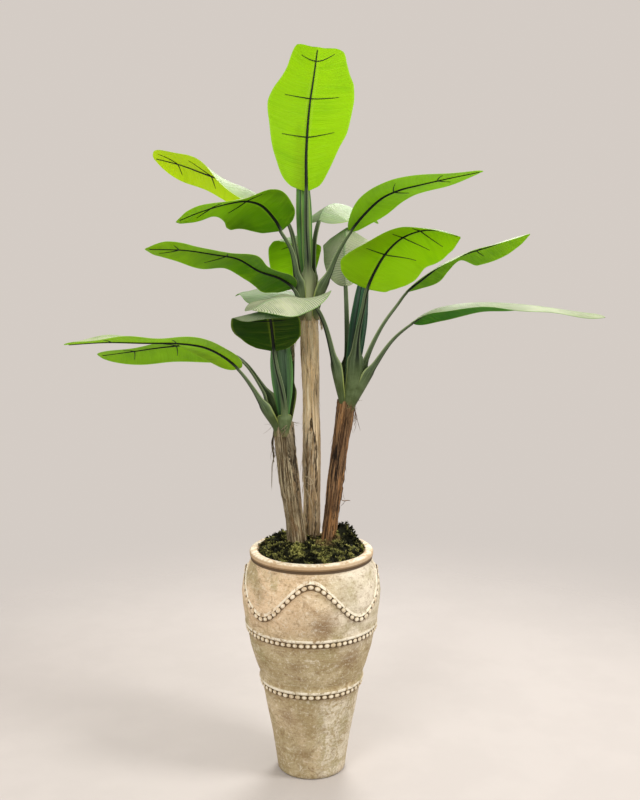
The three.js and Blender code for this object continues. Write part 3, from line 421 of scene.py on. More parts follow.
# Painted highlight on the moss's high tips and painted shade in its low hollows.
MOSS_WASHES = [
    (("clumps", 0.46, 0.60), 1, "green"), (("regions", 0.54, 0.66), 0.8, "brown"),
    (("tip", 0.5, 1.0), ("clumps", 0.48, 0.60), 1, "bright"), (("fine", 0.54, 0.66), 0.6, "dark"),
    (("tip", 0.45, 0.05), 0.9, "dark"),
]
FILL_COLOUR = (0.05, 0.035, 0.02)

# Lit and shaded copies of the leaf cloth, one for each level of light a leaf gets: painted shade
# and painted light of the underside, and the light that comes through
LIT_AND_SHADED_CLOTHS = {
    "vivid": ((0.24, 0.46, 0.002), (0.62, 0.84, 0.006), (0.78, 0.96, 0.003)),
    "bright": ((0.13, 0.33, 0.001), (0.38, 0.65, 0.001), (0.48, 0.78, 0.001)),
    "fresh": ((0.030, 0.12, 0.001), (0.42, 0.68, 0.006), (0.56, 0.90, 0.002)),
    "middle": ((0.016, 0.07, 0.002), (0.11, 0.36, 0.012), (0.14, 0.50, 0.003)),
    "deep": ((0.009, 0.035, 0.001), (0.030, 0.09, 0.002), (0.06, 0.20, 0.002)),
}
RIB_PITCH = 0.0065
SHEET = 1.0  # thickness of the leaf cloth
END_HALF = 6  # half width left at a tip
WIRE_SWEEP = (0.042, 0.042)  # for leaves that name no sweep of their own
EASE_SHIFTS = (-0.12, -0.06, 0, 0.06, 0.12)  # places along a blade whose values are averaged
BEND_REACH = 0.06  # share of a blade over which its direction is taken, so that no bend pinches
WAVE_WIDTH = 45  # half width under which the edge wave dies away
# Sheath rows: height over the stem's start, half width, depth, edge lift; lower on short stems
SHEATH = [(0, 8, 5, 1), (30, 15, 10, 3), (80, 20.5, 13, 6), (126, 23.5, 15, 9), (142, 23, 15, 10),
          (164, 15, 13, 8), (190, 10.5, 12, 4)]
SHEATH_STEM = 344
SHEATH_BELOW = {"middle": 16, "left": 22, "right": 4}
STALK = [(0.72, 8.2, 9.5, 2), (1, 7, 8.5, 0)]
MIDRIB_BASE = (5.8, 7.6)
MIDRIB_TIP = (1.7, 2.2)


# Numbers and paths

def unit(v):
    return v / np.maximum(np.linalg.norm(v, axis=-1, keepdims=True), 1e-9)


def smooth(low, high, x):
    f = np.clip((x - low) / (high - low), 0, 1)
    return f * f * (3 - 2 * f)


def circle(count):
    """Angles at even steps all the way round."""
    return np.linspace(0, 2 * math.pi, count, endpoint=False)


def eased(rows, at):
    """Values between rows of (at, value, value ...), with soft corners."""
    rows = np.array(rows, float)
    path = Path(rows, steps=400)
    return np.stack([np.interp(at, path.dense[:, 0], path.dense[:, k])
                     for k in range(1, rows.shape[1])], -1)


def flowing(rows, at):
    """Values between rows of (at, value, value ...), smooth and never past a row's own value."""
    rows = np.array(rows, float)
    x, y = rows[:, 0], rows[:, 1:]
    steps = np.diff(y, axis=0) / np.diff(x)[:, None]
    before, after = steps[:-1], steps[1:]
    same_way = before * after > 0
    inner = np.where(same_way, 2 * before * after / np.where(same_way, before + after, 1), 0)
    slope = np.concatenate([steps[:1], inner, steps[-1:]])
    k = np.clip(np.searchsorted(x, at, side="right") - 1, 0, len(x) - 2)
    h = (x[k + 1] - x[k])[..., None]
    f = (at - x[k])[..., None] / h
    return ((1 + 2 * f) * (1 - f)**2 * y[k] + f * (1 - f)**2 * h * slope[k]
            + f**2 * (3 - 2 * f) * y[k + 1] + f**2 * (f - 1) * h * slope[k + 1])


def three(values, t):
    """From the base's value over the middle's to the tip's, eased at the middle."""
    return np.mean([np.interp(t + shift, (0, 0.5, 1), values) for shift in EASE_SHIFTS], axis=0)


class Path:
    """A smooth path through points, measured by length between two of them."""

    def __init__(self, points, first=0, last=None, steps=300):
        points = np.array(points, float)
        last = len(points) - 1 if last is None else last
        ends = np.vstack([2 * points[0] - points[1], points, 2 * points[-1] - points[-2]])
        at = np.linspace(first, last, steps + 1)
        i = np.minimum(at.astype(int), len(points) - 2)
        w = (at - i)[:, None]
        p0, p1, p2, p3 = (ends[i + k] for k in range(4))
        d0, d1, d2 = (np.sqrt(np.linalg.norm(b - a, axis=1))[:, None]
                      for a, b in ((p0, p1), (p1, p2), (p2, p3)))
        m1 = ((p1 - p0) / d0 - (p2 - p0) / (d0 + d1) + (p2 - p1) / d1) * d1
        m2 = ((p2 - p1) / d1 - (p3 - p1) / (d1 + d2) + (p3 - p2) / d2) * d1
        self.dense = p1 + m1 * w + (3 * (p2 - p1) - 2 * m1 - m2) * w**2 + (2 * (p1 - p2) + m1 + m2) * w**3
        pieces = np.linalg.norm(np.diff(self.dense, axis=0), axis=1)
        self.lengths = np.concatenate([[0], np.cumsum(pieces)])
        self.length = self.lengths[-1]

    def at(self, f):
        d = np.asarray(f) * self.length
        return np.stack([np.interp(d, self.lengths, self.dense[:, k]) for k in range(3)], -1)

    def tangent(self, f, reach=0.01):
        f = np.asarray(f)
        return unit(self.at(np.clip(f + reach, 0, 1)) - self.at(np.clip(f - reach, 0, 1)))


def across(tangent, up):
    """Side and up vectors square to a path, from a rough up direction."""
    side = unit(np.cross(tangent, up))
    return side, np.cross(side, tangent)


def rings_round(centre, side, up, wide, high):
    """Rings of points round a line, from each point's reach to the side and up."""
    return centre[:, None] + side[:, None] * wide[..., None] + up[:, None] * high[..., None]


class Grain:
    """Smooth seeded noise on an unrolled surface that closes on itself along its first axis."""

    def __init__(self, seed):
        self.random = np.random.default_rng(seed)

    def field(self, a, z, cells_a, cells_z):
        table = self.random.uniform(-1, 1, (cells_a, cells_z + 1))
        x, y = (a % 1) * cells_a, np.clip(z, 0, 0.9999) * cells_z
        i, j = x.astype(int) % cells_a, y.astype(int)
        fx, fy = x - np.floor(x), y - j
        fx, fy = fx * fx * (3 - 2 * fx), fy * fy * (3 - 2 * fy)
        k = (i + 1) % cells_a
        low = table[i, j] * (1 - fx) + table[k, j] * fx
        high = table[i, j + 1] * (1 - fx) + table[k, j + 1] * fx
        return low * (1 - fy) + high * fy


# Meshes

def grid_of(rows, columns):
    return np.meshgrid(rows, columns, indexing="ij")


def tube_faces(rings, around, caps=True):
    """Faces of a skin over rings of points, closed round and at both ends."""
    i, j = grid_of(np.arange(rings - 1), np.arange(around))
    a, b = i * around + j, i * around + (j + 1) % around
    faces = np.stack([a, b, b + around, a + around], -1).reshape(-1, 4).tolist()
    if caps:
        faces.append(list(range(around))[::-1])
        faces.append(list(range((rings - 1) * around, rings * around)))
    return faces


def ring_uv(rings, around, length):
    """Distance along and share round for each point of a tube."""
    i, j = grid_of(np.linspace(0, length * MM, rings), np.arange(around) / around)
    return np.stack([i, j], -1).reshape(-1, 2)


def make(name, points, faces, material, uv=None, attributes=None, sharp=50):
    """A mesh object in metres from points in millimetres, with its faces as given."""
    mesh = bpy.data.meshes.new(name)
    mesh.from_pydata((np.asarray(points, float).reshape(-1, 3) * MM).tolist(), [], faces)
    if uv is not None:
        corner = np.empty(len(mesh.loops), int)
        mesh.loops.foreach_get("vertex_index", corner)
        layer = mesh.uv_layers.new(name="UVMap")
        layer.data.foreach_set("uv", np.asarray(uv, float)[corner].ravel())
    for key, values in (attributes or {}).items():
        layer = mesh.attributes.new(key, "FLOAT", "POINT")
        layer.data.foreach_set("value", np.asarray(values, float).ravel())
    mesh.shade_smooth()
    mesh.set_sharp_from_angle(angle=math.radians(sharp))
    if material:
        mesh.materials.append(material)
    made = bpy.data.objects.new(name, mesh)
    bpy.context.scene.collection.objects.link(made)
    return made


class Bundle:
    """Gathers several skins into the points, faces, uv and attributes of one mesh."""

    def __init__(self):
        self.points, self.faces, self.uv, self.attributes = [], [], [], {}
        self.count = 0

    def add(self, points, faces, uv, **attributes):
        points = np.asarray(points, float).reshape(-1, 3)
        self.faces += [[v + self.count for v in face] for face in faces]
        self.points.append(points)
        self.uv.append(uv)
        for key, values in attributes.items():
            self.attributes.setdefault(key, []).append(np.broadcast_to(values, len(points)))
        self.count += len(points)

    def add_tube(self, rings, length, start=0.0, **attributes):
        """Adds a closed skin over rings, with uv that run from a start along its length."""
        rows, around = rings.shape[:2]
        uv = ring_uv(rows, around, length) + (start, 0)
        self.add(rings, tube_faces(rows, around), uv, **attributes)

    def make(self, name, material, sharp=50):
        joined = {key: np.concatenate(values) for key, values in self.attributes.items()}
        return make(name, np.concatenate(self.points), self.faces, material,
                    np.concatenate(self.uv), joined, sharp)


def settle(made, slot, *nodes):
    """The piece rides on the plant and stands for its nodes, which it hides. Its slot is not used."""
    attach(made, "root")
    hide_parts(*nodes)
    return made


# Shaders

class Wire:
    """A shader socket that can be used in arithmetic."""

    def __init__(self, look, socket):
        self.look = look
        self.socket = socket

    def math(self, operation, *values):
        return self.look.node("Math", {"operation": operation}, [self, *values])

    def __add__(self, other):
        return self.math("ADD", other)

    def __sub__(self, other):
        return self.math("SUBTRACT", other)

    def __rsub__(self, other):
        return self.look.node("Math", {"operation": "SUBTRACT"}, [other, self])

    def __mul__(self, other):
        return self.math("MULTIPLY", other)

    def __abs__(self):
        return self.math("ABSOLUTE")

    __radd__ = __add__
    __rmul__ = __mul__

    def band(self, low, high):
        """0 below low, 1 above high, and smooth between; reversed where low is above high."""
        ends = (low, high, 0, 1) if low < high else (high, low, 1, 0)
        return self.look.node("MapRange", {"interpolation_type": "SMOOTHSTEP"}, [self, *ends])


class Look:
    """A material under construction."""

    def __init__(self, name):
        self.material = bpy.data.materials.new(name)
        self.material.use_nodes = True
        self.tree = self.material.node_tree
        self.tree.nodes.clear()
        self.output = self.tree.nodes.new("ShaderNodeOutputMaterial")

    def node(self, kind, settings=None, values=(), out=0):
        made = self.tree.nodes.new("ShaderNode" + kind)
        for key, value in (settings or {}).items():
            setattr(made, key, value)
        pairs = values.items() if isinstance(values, dict) else enumerate(values)
        for key, value in pairs:
            if isinstance(value, Wire):
                self.tree.links.new(value.socket, made.inputs[key])
            elif value is not None:
                socket = made.inputs[key]
                plain = hasattr(value, "__len__") and len(value) == 3 and socket.type == "RGBA"
                socket.default_value = (*value, 1) if plain else value
        return Wire(self, made.outputs[out])

    def place(self):
        return self.node("TexCoord", out="Object")

    def flow(self):
        return self.node("TexCoord", out="UV")

    def parts(self, vector):
        split = self.node("SeparateXYZ", values=[vector]).socket.node
        return [Wire(self, socket) for socket in split.outputs]

    def point(self, x=0.0, y=0.0, z=0.0):
        return self.node("CombineXYZ", values=[x, y, z])

    def round(self, turn, along):
        """A vector that runs along a tube and closes on itself round it."""
        ring = turn * (2 * math.pi)
        return self.point(ring.math("COSINE"), ring.math("SINE"), along)

    def attribute(self, name):
        return self.node("Attribute", {"attribute_name": name}, out="Fac")

    def noise(self, vector, scale, detail, rough, twist=0.0):
        """A noise over a vector; three scales stretch it along the axes."""
        if isinstance(scale, tuple):
            vector, scale = self.node("Mapping", values={"Vector": vector, "Scale": scale}), 1.0
        return self.node("TexNoise", values={"Vector": vector, "Scale": scale, "Detail": detail,
                                             "Roughness": rough, "Distortion": twist})

    def noises(self, vector, rows):
        return {name: self.noise(vector, *row) for name, row in rows.items()}

    def mix(self, factor, a, b):
        return self.node("Mix", {"data_type": "RGBA"}, {0: factor, 6: a, 7: b}, out=2)

    def wash(self, colour, washes, sources, colours):
        """Lays washes over a colour. Each has its strength and colour, and before them what it
        follows: a source as it is, or a source with the values where the wash starts and is full."""
        for *follows, strength, tint in washes:
            factor = strength
            for follow in follows:
                if isinstance(follow, str):
                    shown = sources[follow]
                else:
                    shown = sources[follow[0]].band(*follow[1:])
                factor = shown * factor
            colour = self.mix(factor, colour, colours[tint])
        return colour

    def bump(self, height, distance, strength):
        return self.node("Bump", values={"Height": height, "Distance": distance, "Strength": strength})

    def principled(self, colour, roughness, normal=None, **constants):
        values = {"Base Color": colour, "Roughness": roughness, "Normal": normal}
        values.update({key.replace("_", " "): value for key, value in constants.items()})
        return self.node("BsdfPrincipled", values=values)

    def finish(self, shader):
        self.tree.links.new(shader.socket, self.output.inputs["Surface"])
        return self.material


def clay(name, colours):
    """Antiqued clay as it is all over: its look, its sources and its colour with all its washes."""
    look = Look(name)
    place = look.place()
    x, y, z = look.parts(place)
    sources = look.noises(place, CLAY_NOISES)
    sources.update(x=x, y=y, z=z)
    colour = look.wash(colours["tan"], CLAY_REGIONS, sources, colours)
    for middle, reach, strength in BROWN_PATCHES:
        apart = look.node("VectorMath", {"operation": "DISTANCE"}, [place, middle], out="Value")
        near = (apart + sources["blots"] * PATCH_RAGGED).band(reach + PATCH_CORE, PATCH_CORE)
        colour = look.mix(near * strength, colour, colours["brown"])
    return look, sources, look.wash(colour, CLAY_WEAR, sources, colours)


def finish_clay(look, sources, colour):
    rubbed, grit, turned, blots = (sources[key] for key in ("rubbed", "grit", "turned", "blots"))
    normal = look.bump(rubbed * 0.5 + grit * 0.4 + turned * 0.4 + blots * 0.5, 0.0020, 0.8)
    rough = 0.78 + grit * 0.2
    return look.finish(look.principled(colour, rough, normal, Specular_IOR_Level=0.3))


def bead_clay(name, colours):
    """Clay of the beads: pale on their crowns and dark where they meet the wall."""
    look, sources, colour = clay(name, colours)
    sources["crown"] = look.attribute("crown")
    return finish_clay(look, sources, look.wash(colour, BEAD_WEAR, sources, colours))


def wall_clay(name, colours):
    """Clay of the wall: a dark wash in the groove behind each row of beads with a painted shadow below
    it, pale on the ledge over them, and darker round the rim with painted shade under its lip and a
    painted shadow line at its neck.
    """
    look, sources, colour = clay(name, colours)
    x, y, z = (sources[key] for key in "xyz")
    turn = look.node("Math", {"operation": "ARCTAN2"}, [y, x])
    radius = (x * x + y * y).math("SQRT")
    for _, height, swing, _, _ in reversed(BEAD_ROWS):
        offset, shown = z - height * MM, 1.0
        if swing:
            offset = z - ((turn + math.pi / 2) * ROPE_WAVES).math("COSINE") * (swing * MM) - height * MM
            shown = radius.band(*OUTSIDE_HOLLOW)
        sources.update(shown=shown, offset=offset)
        sources.update(groove=abs(offset - GROOVE_AT), ledge=abs(offset - LEDGE_AT))
        colour = look.wash(colour, ROW_WEAR_AND_SHADOW, sources, colours)
    sources.update(radius=radius, lip=abs(z - LIP_AT), neck=abs(z - NECK_AT))
    return finish_clay(look, sources, look.wash(colour, RIM_WEAR_AND_SHADE, sources, colours))


def bark(name, colours, fair):
    """Long fibres of bark, painted nearly black with shade in the splits and along torn edges, paler
    husk over a torn inner layer.
    """
    look = Look(name)
    along, turn, _ = look.parts(look.flow())
    sources = look.noises(look.round(turn, along), BARK_NOISES)
    threads, strands, ropes = (sources[key] for key in ("threads", "strands", "ropes"))
    sources.update({"fair " + key: sources[key] + fair for key in ("threads", "strands", "ropes")})
    sources.update({key: look.attribute(key) for key in ("deep", "inner", "husk")})
    outer = look.wash(colours["dark"], BARK_OUTER, sources, colours)
    inner = look.wash(colours["dark"], BARK_INNER, sources, colours)
    colour = look.mix(sources["inner"], outer, inner)
    colour = look.wash(colour, BARK_WEAR_AND_SHADE, sources, colours)
    normal = look.bump(threads + strands + ropes, 0.0034, 1.0)
    return look.finish(look.principled(colour, 0.72 + threads * 0.25, normal, Specular_IOR_Level=0.25))


def leaf_cloth(name, colours, shaded_and_lit, sheerness):
    """Leaf cloth in one of its lit and shaded copies: green below with painted light and shade that
    follow the tone, pale on top with painted sheen, with pressed ribs and light through it.
    """
    look = Look(name)
    low, high, glow = shaded_and_lit
    colours = {**colours, "low": low, "high": high}
    along, over, _ = look.parts(look.flow())
    top = look.attribute("top").band(0.4, 0.6)
    # tone: painted light and shade of the underside. paler: painted sheen on the top.
    tone, paler = look.attribute("tone"), look.attribute("paler")
    out = abs(over - 0.5) * 2
    ribs = (along * (2 * math.pi / RIB_PITCH)).math("SINE") * 0.5 + 0.5
    veins = look.noise(look.point(along * 500, over * 1.5, tone * 9), 1, 2, 0.6)
    broad = look.noise(look.point(along * 34, over * 1.4, tone * 5), 1, 4, 0.6, 0.5)
    clouds = look.noise(look.place(), 8, 3, 0.5)
    sources = {"lit": tone + (clouds - 0.5) * 0.9, "paler": paler + (clouds - 0.5) * 0.8, "out": out,
               "ribs": ribs, "veins": veins, "broad": broad, "clouds": clouds,
               "lined": paler.band(0.2, 1.0) * 0.45 + 0.45}
    under = look.wash(low, LEAF_UNDER, sources, colours)
    upper = look.wash(colours["mint"], LEAF_TOP, sources, colours)
    colour = look.wash(look.mix(top, under, upper), LEAF_VEINS, sources, colours)
    height = veins * 0.5 + broad * 0.4 + ribs * (top * 0.6 + 0.35)
    normal = look.bump(height, 0.0012, 0.7)
    shell = look.principled(colour, 0.42 + veins * 0.2, normal, Specular_IOR_Level=0.16)
    through = look.node("BsdfTranslucent", values={"Color": glow})
    # The light through the cloth dims where the tone paints shade.
    lit = tone.band(-0.6, 1.0) * 0.6 + 0.45
    share = (1 - ribs * 0.12) * sheerness * (0.8 + clouds * 0.4) * (1 - top * 0.45) * lit
    return look.finish(look.node("MixShader", values=[share, shell, through]))


def moulded_stalk(name, colours):
    """Moulded stalk: olive sheath with a paler rim, grey-green stalk with a painted shade line along
    its lowest side, and a midrib painted nearly black as shade.
    """
    look = Look(name)
    along, turn, _ = look.parts(look.flow())
    below = abs(turn - LOWEST_TURN)
    lines = look.noise(look.point(along * 9, turn * 46), 1, 4, 0.6, 0.2)
    sources = {"lines": lines, "clouds": look.noise(look.place(), 14, 4, 0.6), "below": below,
               "rim": abs(below - LOWEST_TURN), "place": look.attribute("place"),
               "cream": look.attribute("cream")}
    stalk = look.wash(colours["stalk"], STALK_WASHES, sources, colours)
    sheath = look.wash(colours["olive"], SHEATH_WASHES, sources, colours)
    colour = look.mix(sources["place"].band(0.22, 0.5), sheath, stalk)
    colour = look.wash(colour, STALK_ENDS, sources, colours)
    normal = look.bump(lines, 0.0006, 0.6)
    return look.finish(look.principled(colour, 0.42 + lines * 0.25, normal, Specular_IOR_Level=0.2))


def furled_cloth(name, colours, highlight_sides):
    """A rolled leaf: lengthwise strips of green with a soft gloss, painted highlight down given sides
    of the roll and on each pleat's outer edge, and painted shade where each pleat lies lowest.
    """
    look = Look(name)
    along, turn, _ = look.parts(look.flow())
    sources = look.noises(look.round(turn, along), FURLED_NOISES)
    sources["fold"] = look.attribute("fold")
    lines = sources["lines"]
    colour = look.mix(sources["strips"].band(0.40, 0.58), colours["dark"], colours["green"])
    # Painted highlight in strips down given sides of the roll.
    for side, wide, strength in highlight_sides:
        apart = abs(((turn - side + 1.5).math("FRACT")) - 0.5)
        colour = look.mix(apart.band(wide, wide * 0.5) * strength, colour, colours["pale"])
    colour = look.wash(colour, FURLED_WASHES, sources, colours)
    normal = look.bump(lines, 0.0006, 0.5)
    shell = look.principled(colour, 0.4 + lines * 0.2, normal, Specular_IOR_Level=0.45)
    through = look.node("BsdfTranslucent", values={"Color": colours["green"]})
    return look.finish(look.node("MixShader", values=[0.10, shell, through]))


def mossy(name, colours):
    """Dried moss: green tips over brown and nearly black hollows; the tips carry painted highlight
    and the hollows painted shade.
    """
    look = Look(name)
    sources = look.noises(look.place(), MOSS_NOISES)
    sources["tip"] = look.attribute("tip")
    fine = sources["fine"]
    colour = look.wash(colours["dark"], MOSS_WASHES, sources, colours)
    return look.finish(look.principled(colour, 0.9 + fine * 0.1, look.bump(fine, 0.002, 0.8),
                                       Specular_IOR_Level=0.12))


def plain(name, colour, rough, fade=None):
    """Floor or fill: one colour, for a floor fading out between two distances."""
    look = Look(name)
    shade = tuple(0.97 * v for v in colour)
    cloudy = look.mix(look.noise(look.place(), 3, 4, 0.6).band(0.4, 0.6), colour, shade)
    shell = look.principled(cloudy, rough, Specular_IOR_Level=0.1)
    if fade:
        x, y, _ = look.parts(look.place())
        near = (x * x + y * y).math("SQRT").band(fade[1], fade[0])
        look.tree.links.new(near.socket, shell.socket.node.inputs["Alpha"])
    return look.finish(shell)


# Geometry Nodes

class Growth:
    """A Geometry Nodes tree with named inputs for what repeats on a surface or along a line."""

    def __init__(self, name, inputs):
        self.tree = bpy.data.node_groups.new(name, "GeometryNodeTree")
        self.tree.interface.new_socket("Geometry", in_out="INPUT", socket_type="NodeSocketGeometry")
        self.ids = {}
        for label, kind, value in inputs:
            made = self.tree.interface.new_socket(label, in_out="INPUT", socket_type="NodeSocket" + kind)
            if value is not None:
                made.default_value = value
            self.ids[label] = made.identifier
        self.tree.interface.new_socket("Geometry", in_out="OUTPUT", socket_type="NodeSocketGeometry")
        self.input = self.tree.nodes.new("NodeGroupInput")
        self.output = self.tree.nodes.new("NodeGroupOutput")

    def get(self, label):
        return self.input.outputs[label]

    def node(self, kind, settings=None, values=None, out=0):
        made = self.tree.nodes.new(kind)
        for key, value in (settings or {}).items():
            setattr(made, key, value)
        for key, value in (values or {}).items():
            if isinstance(value, bpy.types.NodeSocket):
                self.tree.links.new(value, made.inputs[key])
            else:
                made.inputs[key].default_value = value
        return made.outputs[out]

    def end(self, instances, material, base=None):
        real = self.node("GeometryNodeRealizeInstances", values={0: instances})
        soft = self.node("GeometryNodeSetShadeSmooth", values={0: real})
        if base is not None:
            joined = self.tree.nodes.new("GeometryNodeJoinGeometry")
            for socket in (soft, base):
                self.tree.links.new(socket, joined.inputs[0])
            soft = joined.outputs[0]
        made = self.node("GeometryNodeSetMaterial", values={0: soft, 2: material})
        self.tree.links.new(made, self.output.inputs[0])

    def grow(self, made, **values):
        """Runs the tree on an object and keeps the result as its plain mesh."""
        modifier = made.modifiers.new(self.tree.name, "NODES")
        modifier.node_group = self.tree
        for label, value in values.items():
            modifier[self.ids[label.replace("_", " ")]] = value
        seen = made.evaluated_get(bpy.context.evaluated_depsgraph_get())
        mesh = bpy.data.meshes.new_from_object(seen)
        made.modifiers.clear()
        made.data = mesh
        return made


def bead_growth():
    """Oval beads along a line round the wall, each lying flat on it."""
    g = Growth("beads_along_a_line", [("Beads", "Int", 70), ("Length", "Float", 0.0165),
                                      ("Height", "Float", 0.0125), ("Depth", "Float", 0.006),
                                      ("Jitter", "Float", 0.12), ("Seed", "Int", SEED),
                                      ("Material", "Material", None)])
    line = g.node("GeometryNodeMeshToCurve", values={0: g.get("Geometry")})
    spaced = g.node("GeometryNodeResampleCurve", {"mode": "COUNT"}, {"Curve": line, "Count": g.get("Beads")})
    ball = g.node("GeometryNodeMeshUVSphere", values={"Segments": 14, "Rings": 9, "Radius": 1.0})
    here = g.node("GeometryNodeInputPosition")
    up = g.node("ShaderNodeSeparateXYZ", values={0: here}, out=2)
    crown = g.node("GeometryNodeStoreNamedAttribute", {"data_type": "FLOAT", "domain": "POINT"},
                   {"Geometry": ball, "Name": "crown", "Value": up})
    flat = g.node("ShaderNodeVectorMath", {"operation": "MULTIPLY"}, {0: here, 1: (1, 1, 0)})
    tangent = g.node("GeometryNodeInputTangent")
    lying = g.node("FunctionNodeAlignRotationToVector", {"axis": "X"}, {"Vector": tangent})
    facing = g.node("FunctionNodeAlignRotationToVector", {"axis": "Z", "pivot_axis": "X"},
                    {"Rotation": lying, "Vector": flat})
    size = g.node("ShaderNodeCombineXYZ", values={0: g.get("Length"), 1: g.get("Height"), 2: g.get("Depth")})
    low = g.node("ShaderNodeMath", {"operation": "SUBTRACT"}, {0: 1.0, 1: g.get("Jitter")})
    vary = g.node("FunctionNodeRandomValue", {"data_type": "FLOAT"},
                  {2: low, 3: 1.0, "Seed": g.get("Seed")}, out=1)
    scale = g.node("ShaderNodeVectorMath", {"operation": "SCALE"}, {0: size, "Scale": vary})
    on = g.node("GeometryNodeInstanceOnPoints", values={"Points": spaced, "Instance": crown,
                                                        "Rotation": facing, "Scale": scale})
    g.end(on, g.get("Material"))
    return g


def scatter_growth(name, upright):
    """Copies of a small shape scattered over a surface, standing up or lying along it."""
    g = Growth(name, [("Shape", "Object", None), ("Density", "Float", 20000.0), ("Smallest", "Float", 0.5),
                      ("Largest", "Float", 1.0), ("Lean", "Float", 0.6), ("Seed", "Int", SEED),
                      ("Material", "Material", None)])
    spread = g.node("GeometryNodeDistributePointsOnFaces", {"distribute_method": "RANDOM"},
                    {"Mesh": g.get("Geometry"), "Density": g.get("Density"), "Seed": g.get("Seed")})
    turned = spread.node.outputs["Rotation"]
    shape = g.node("GeometryNodeObjectInfo", values={"Object": g.get("Shape")}, out="Geometry")
    low = g.node("ShaderNodeMath", {"operation": "MULTIPLY"}, {0: g.get("Lean"), 1: -1.0})
    spin = math.pi if upright else FIBRE_SPIN
    least = g.node("ShaderNodeCombineXYZ", values={0: low, 1: low, 2: -spin})
    most = g.node("ShaderNodeCombineXYZ", values={0: g.get("Lean"), 1: g.get("Lean"), 2: spin})
    lean = g.node("FunctionNodeRandomValue", {"data_type": "FLOAT_VECTOR"},
                  {0: least, 1: most, "Seed": g.get("Seed")})
    base = turned
    if not upright:
        base = g.node("FunctionNodeAlignRotationToVector", {"axis": "X", "pivot_axis": "Z"},
                      {"Rotation": turned, "Vector": (0, 0, -1)})
    leant = g.node("FunctionNodeRotateRotation", {"rotation_space": "LOCAL"}, {0: base, 1: lean})
    size = g.node("FunctionNodeRandomValue", {"data_type": "FLOAT"},
                  {2: g.get("Smallest"), 3: g.get("Largest"), "Seed": g.get("Seed")}, out=1)
    on = g.node("GeometryNodeInstanceOnPoints", values={"Points": spread, "Instance": shape,
                                                        "Rotation": leant, "Scale": size})
    g.end(on, g.get("Material"), base=g.get("Geometry"))
    return g


# Urn

def wall_radius(z):
    return np.interp(z, [row[0] for row in URN_OUTSIDE], [row[1] for row in URN_OUTSIDE])


def urn_body(sides, material):
    """The turned wall, a little uneven from the wheel, with its rounded rim and inner lip."""
    outside = np.array(URN_OUTSIDE, float)
    rise = []
    for (z0, r0), (z1, r1) in zip(outside[:-1], outside[1:]):
        steps = max(1, int(math.hypot(z1 - z0, r1 - r0) / WALL_STEP))
        rise += [(z0 + (z1 - z0) * k / steps, r0 + (r1 - r0) * k / steps) for k in range(steps)]
    profile = np.array([(0, 0.1), (0, 60), *rise, tuple(outside[-1]), *URN_INSIDE])
    z, a = grid_of(profile[:, 0], circle(sides))
    r = np.repeat(profile[:, 1][:, None], sides, 1)
    grain = Grain(SEED)
    turn, share = a / (2 * math.pi), z / RIM_TOP
    uneven = 0.9 * grain.field(turn, share, 7, 5) + 0.35 * grain.field(turn, share, 5, 70)
    wall = smooth(2, 12, z) * smooth(RIM_TOP - 1, RIM_TOP - 12, z)
    r = r + uneven * wall
    points = np.stack([r * np.cos(a), r * np.sin(a), z], -1)
    faces = tube_faces(len(profile), sides, caps=False)
    faces.append(list(range(sides))[::-1])
    faces.append([(len(profile) - 1) * sides + k for k in range(sides)])
    return make("urn_body", points, faces, material, sharp=60)


def row_line(height, swing, lift=0.0):
    """Points of a bead row's line round the wall."""
    turn = circle(ROW_POINTS)
    z = height + swing * np.cos(ROPE_WAVES * (turn + math.pi / 2)) + lift
    r = wall_radius(z)
    return np.stack([r * np.cos(turn), r * np.sin(turn), z], -1)


def raised_line(height, swing, lift, thick, material, name):
    """The rounded ridge that runs above a row of beads."""
    line = row_line(height, swing, lift)
    tangent = unit(np.roll(line, -1, 0) - np.roll(line, 1, 0))
    out = unit(line * (1, 1, 0))
    over = np.cross(out, tangent)
    turn = circle(12)
    rings = rings_round(line, out, over, thick[1] * np.cos(turn)[None], thick[0] * np.sin(turn)[None])
    n, m = rings.shape[:2]
    i, j = grid_of(np.arange(n), np.arange(m))
    k, right = (i + 1) % n, (j + 1) % m
    faces = np.stack([i * m + j, k * m + j, k * m + right, i * m + right], -1).reshape(-1, 4).tolist()
    crown = np.repeat(np.cos(turn)[None], n, 0)
    return make(name, rings, faces, material, attributes={"crown": crown * 0.5 + 0.5})


# Moss

def moss_height(x, y):
    r = np.hypot(x, y)
    lumps = 4 * np.sin(x / 17) * np.cos(y / 15) + 3 * np.sin(x / 9 + y / 11)
    for cx, cy, reach, rise in MOUNDS:
        lumps = lumps + rise * np.exp(-((x - cx) ** 2 + (y - cy) ** 2) / reach**2)
    edge = np.minimum(1, (MOSS_RADIUS - r) / 25 + 0.25)
    return MOSS_TOP + MOSS_DOME * (1 - (r / MOSS_RADIUS) ** 2) + lumps * edge


def moss_cushion(material):
    """The lumpy cushion under the tufts."""
    rings, sides = 44, 150
    share = np.linspace(1, 0.01, rings)
    s, a = grid_of(share, circle(sides))
    x, y = s * MOSS_RADIUS * np.cos(a), s * MOSS_RADIUS * np.sin(a)
    grain = Grain(SEED + 1)
    over_x, over_y = (x + 200) / 400, (y + 200) / 400
    fine = sum(rise * grain.field(over_x, over_y, count, count) for rise, count in MOSS_LUMPS)
    z = moss_height(x, y) + fine - 3
    top = np.stack([x, y, z], -1)
    skirt = top[0] * (1, 1, 0) + (0, 0, MOSS_FOOT)
    points = np.concatenate([skirt[None], top])
    # tip: how high a point stands among the lumps, for painted highlight on high points and painted shade in
    # low ones.
    tip = np.concatenate([np.zeros((1, sides)), smooth(-4, 5, fine) * 0.7])
    return make("moss_cushion", points, tube_faces(rings + 1, sides), material, attributes={"tip": tip})


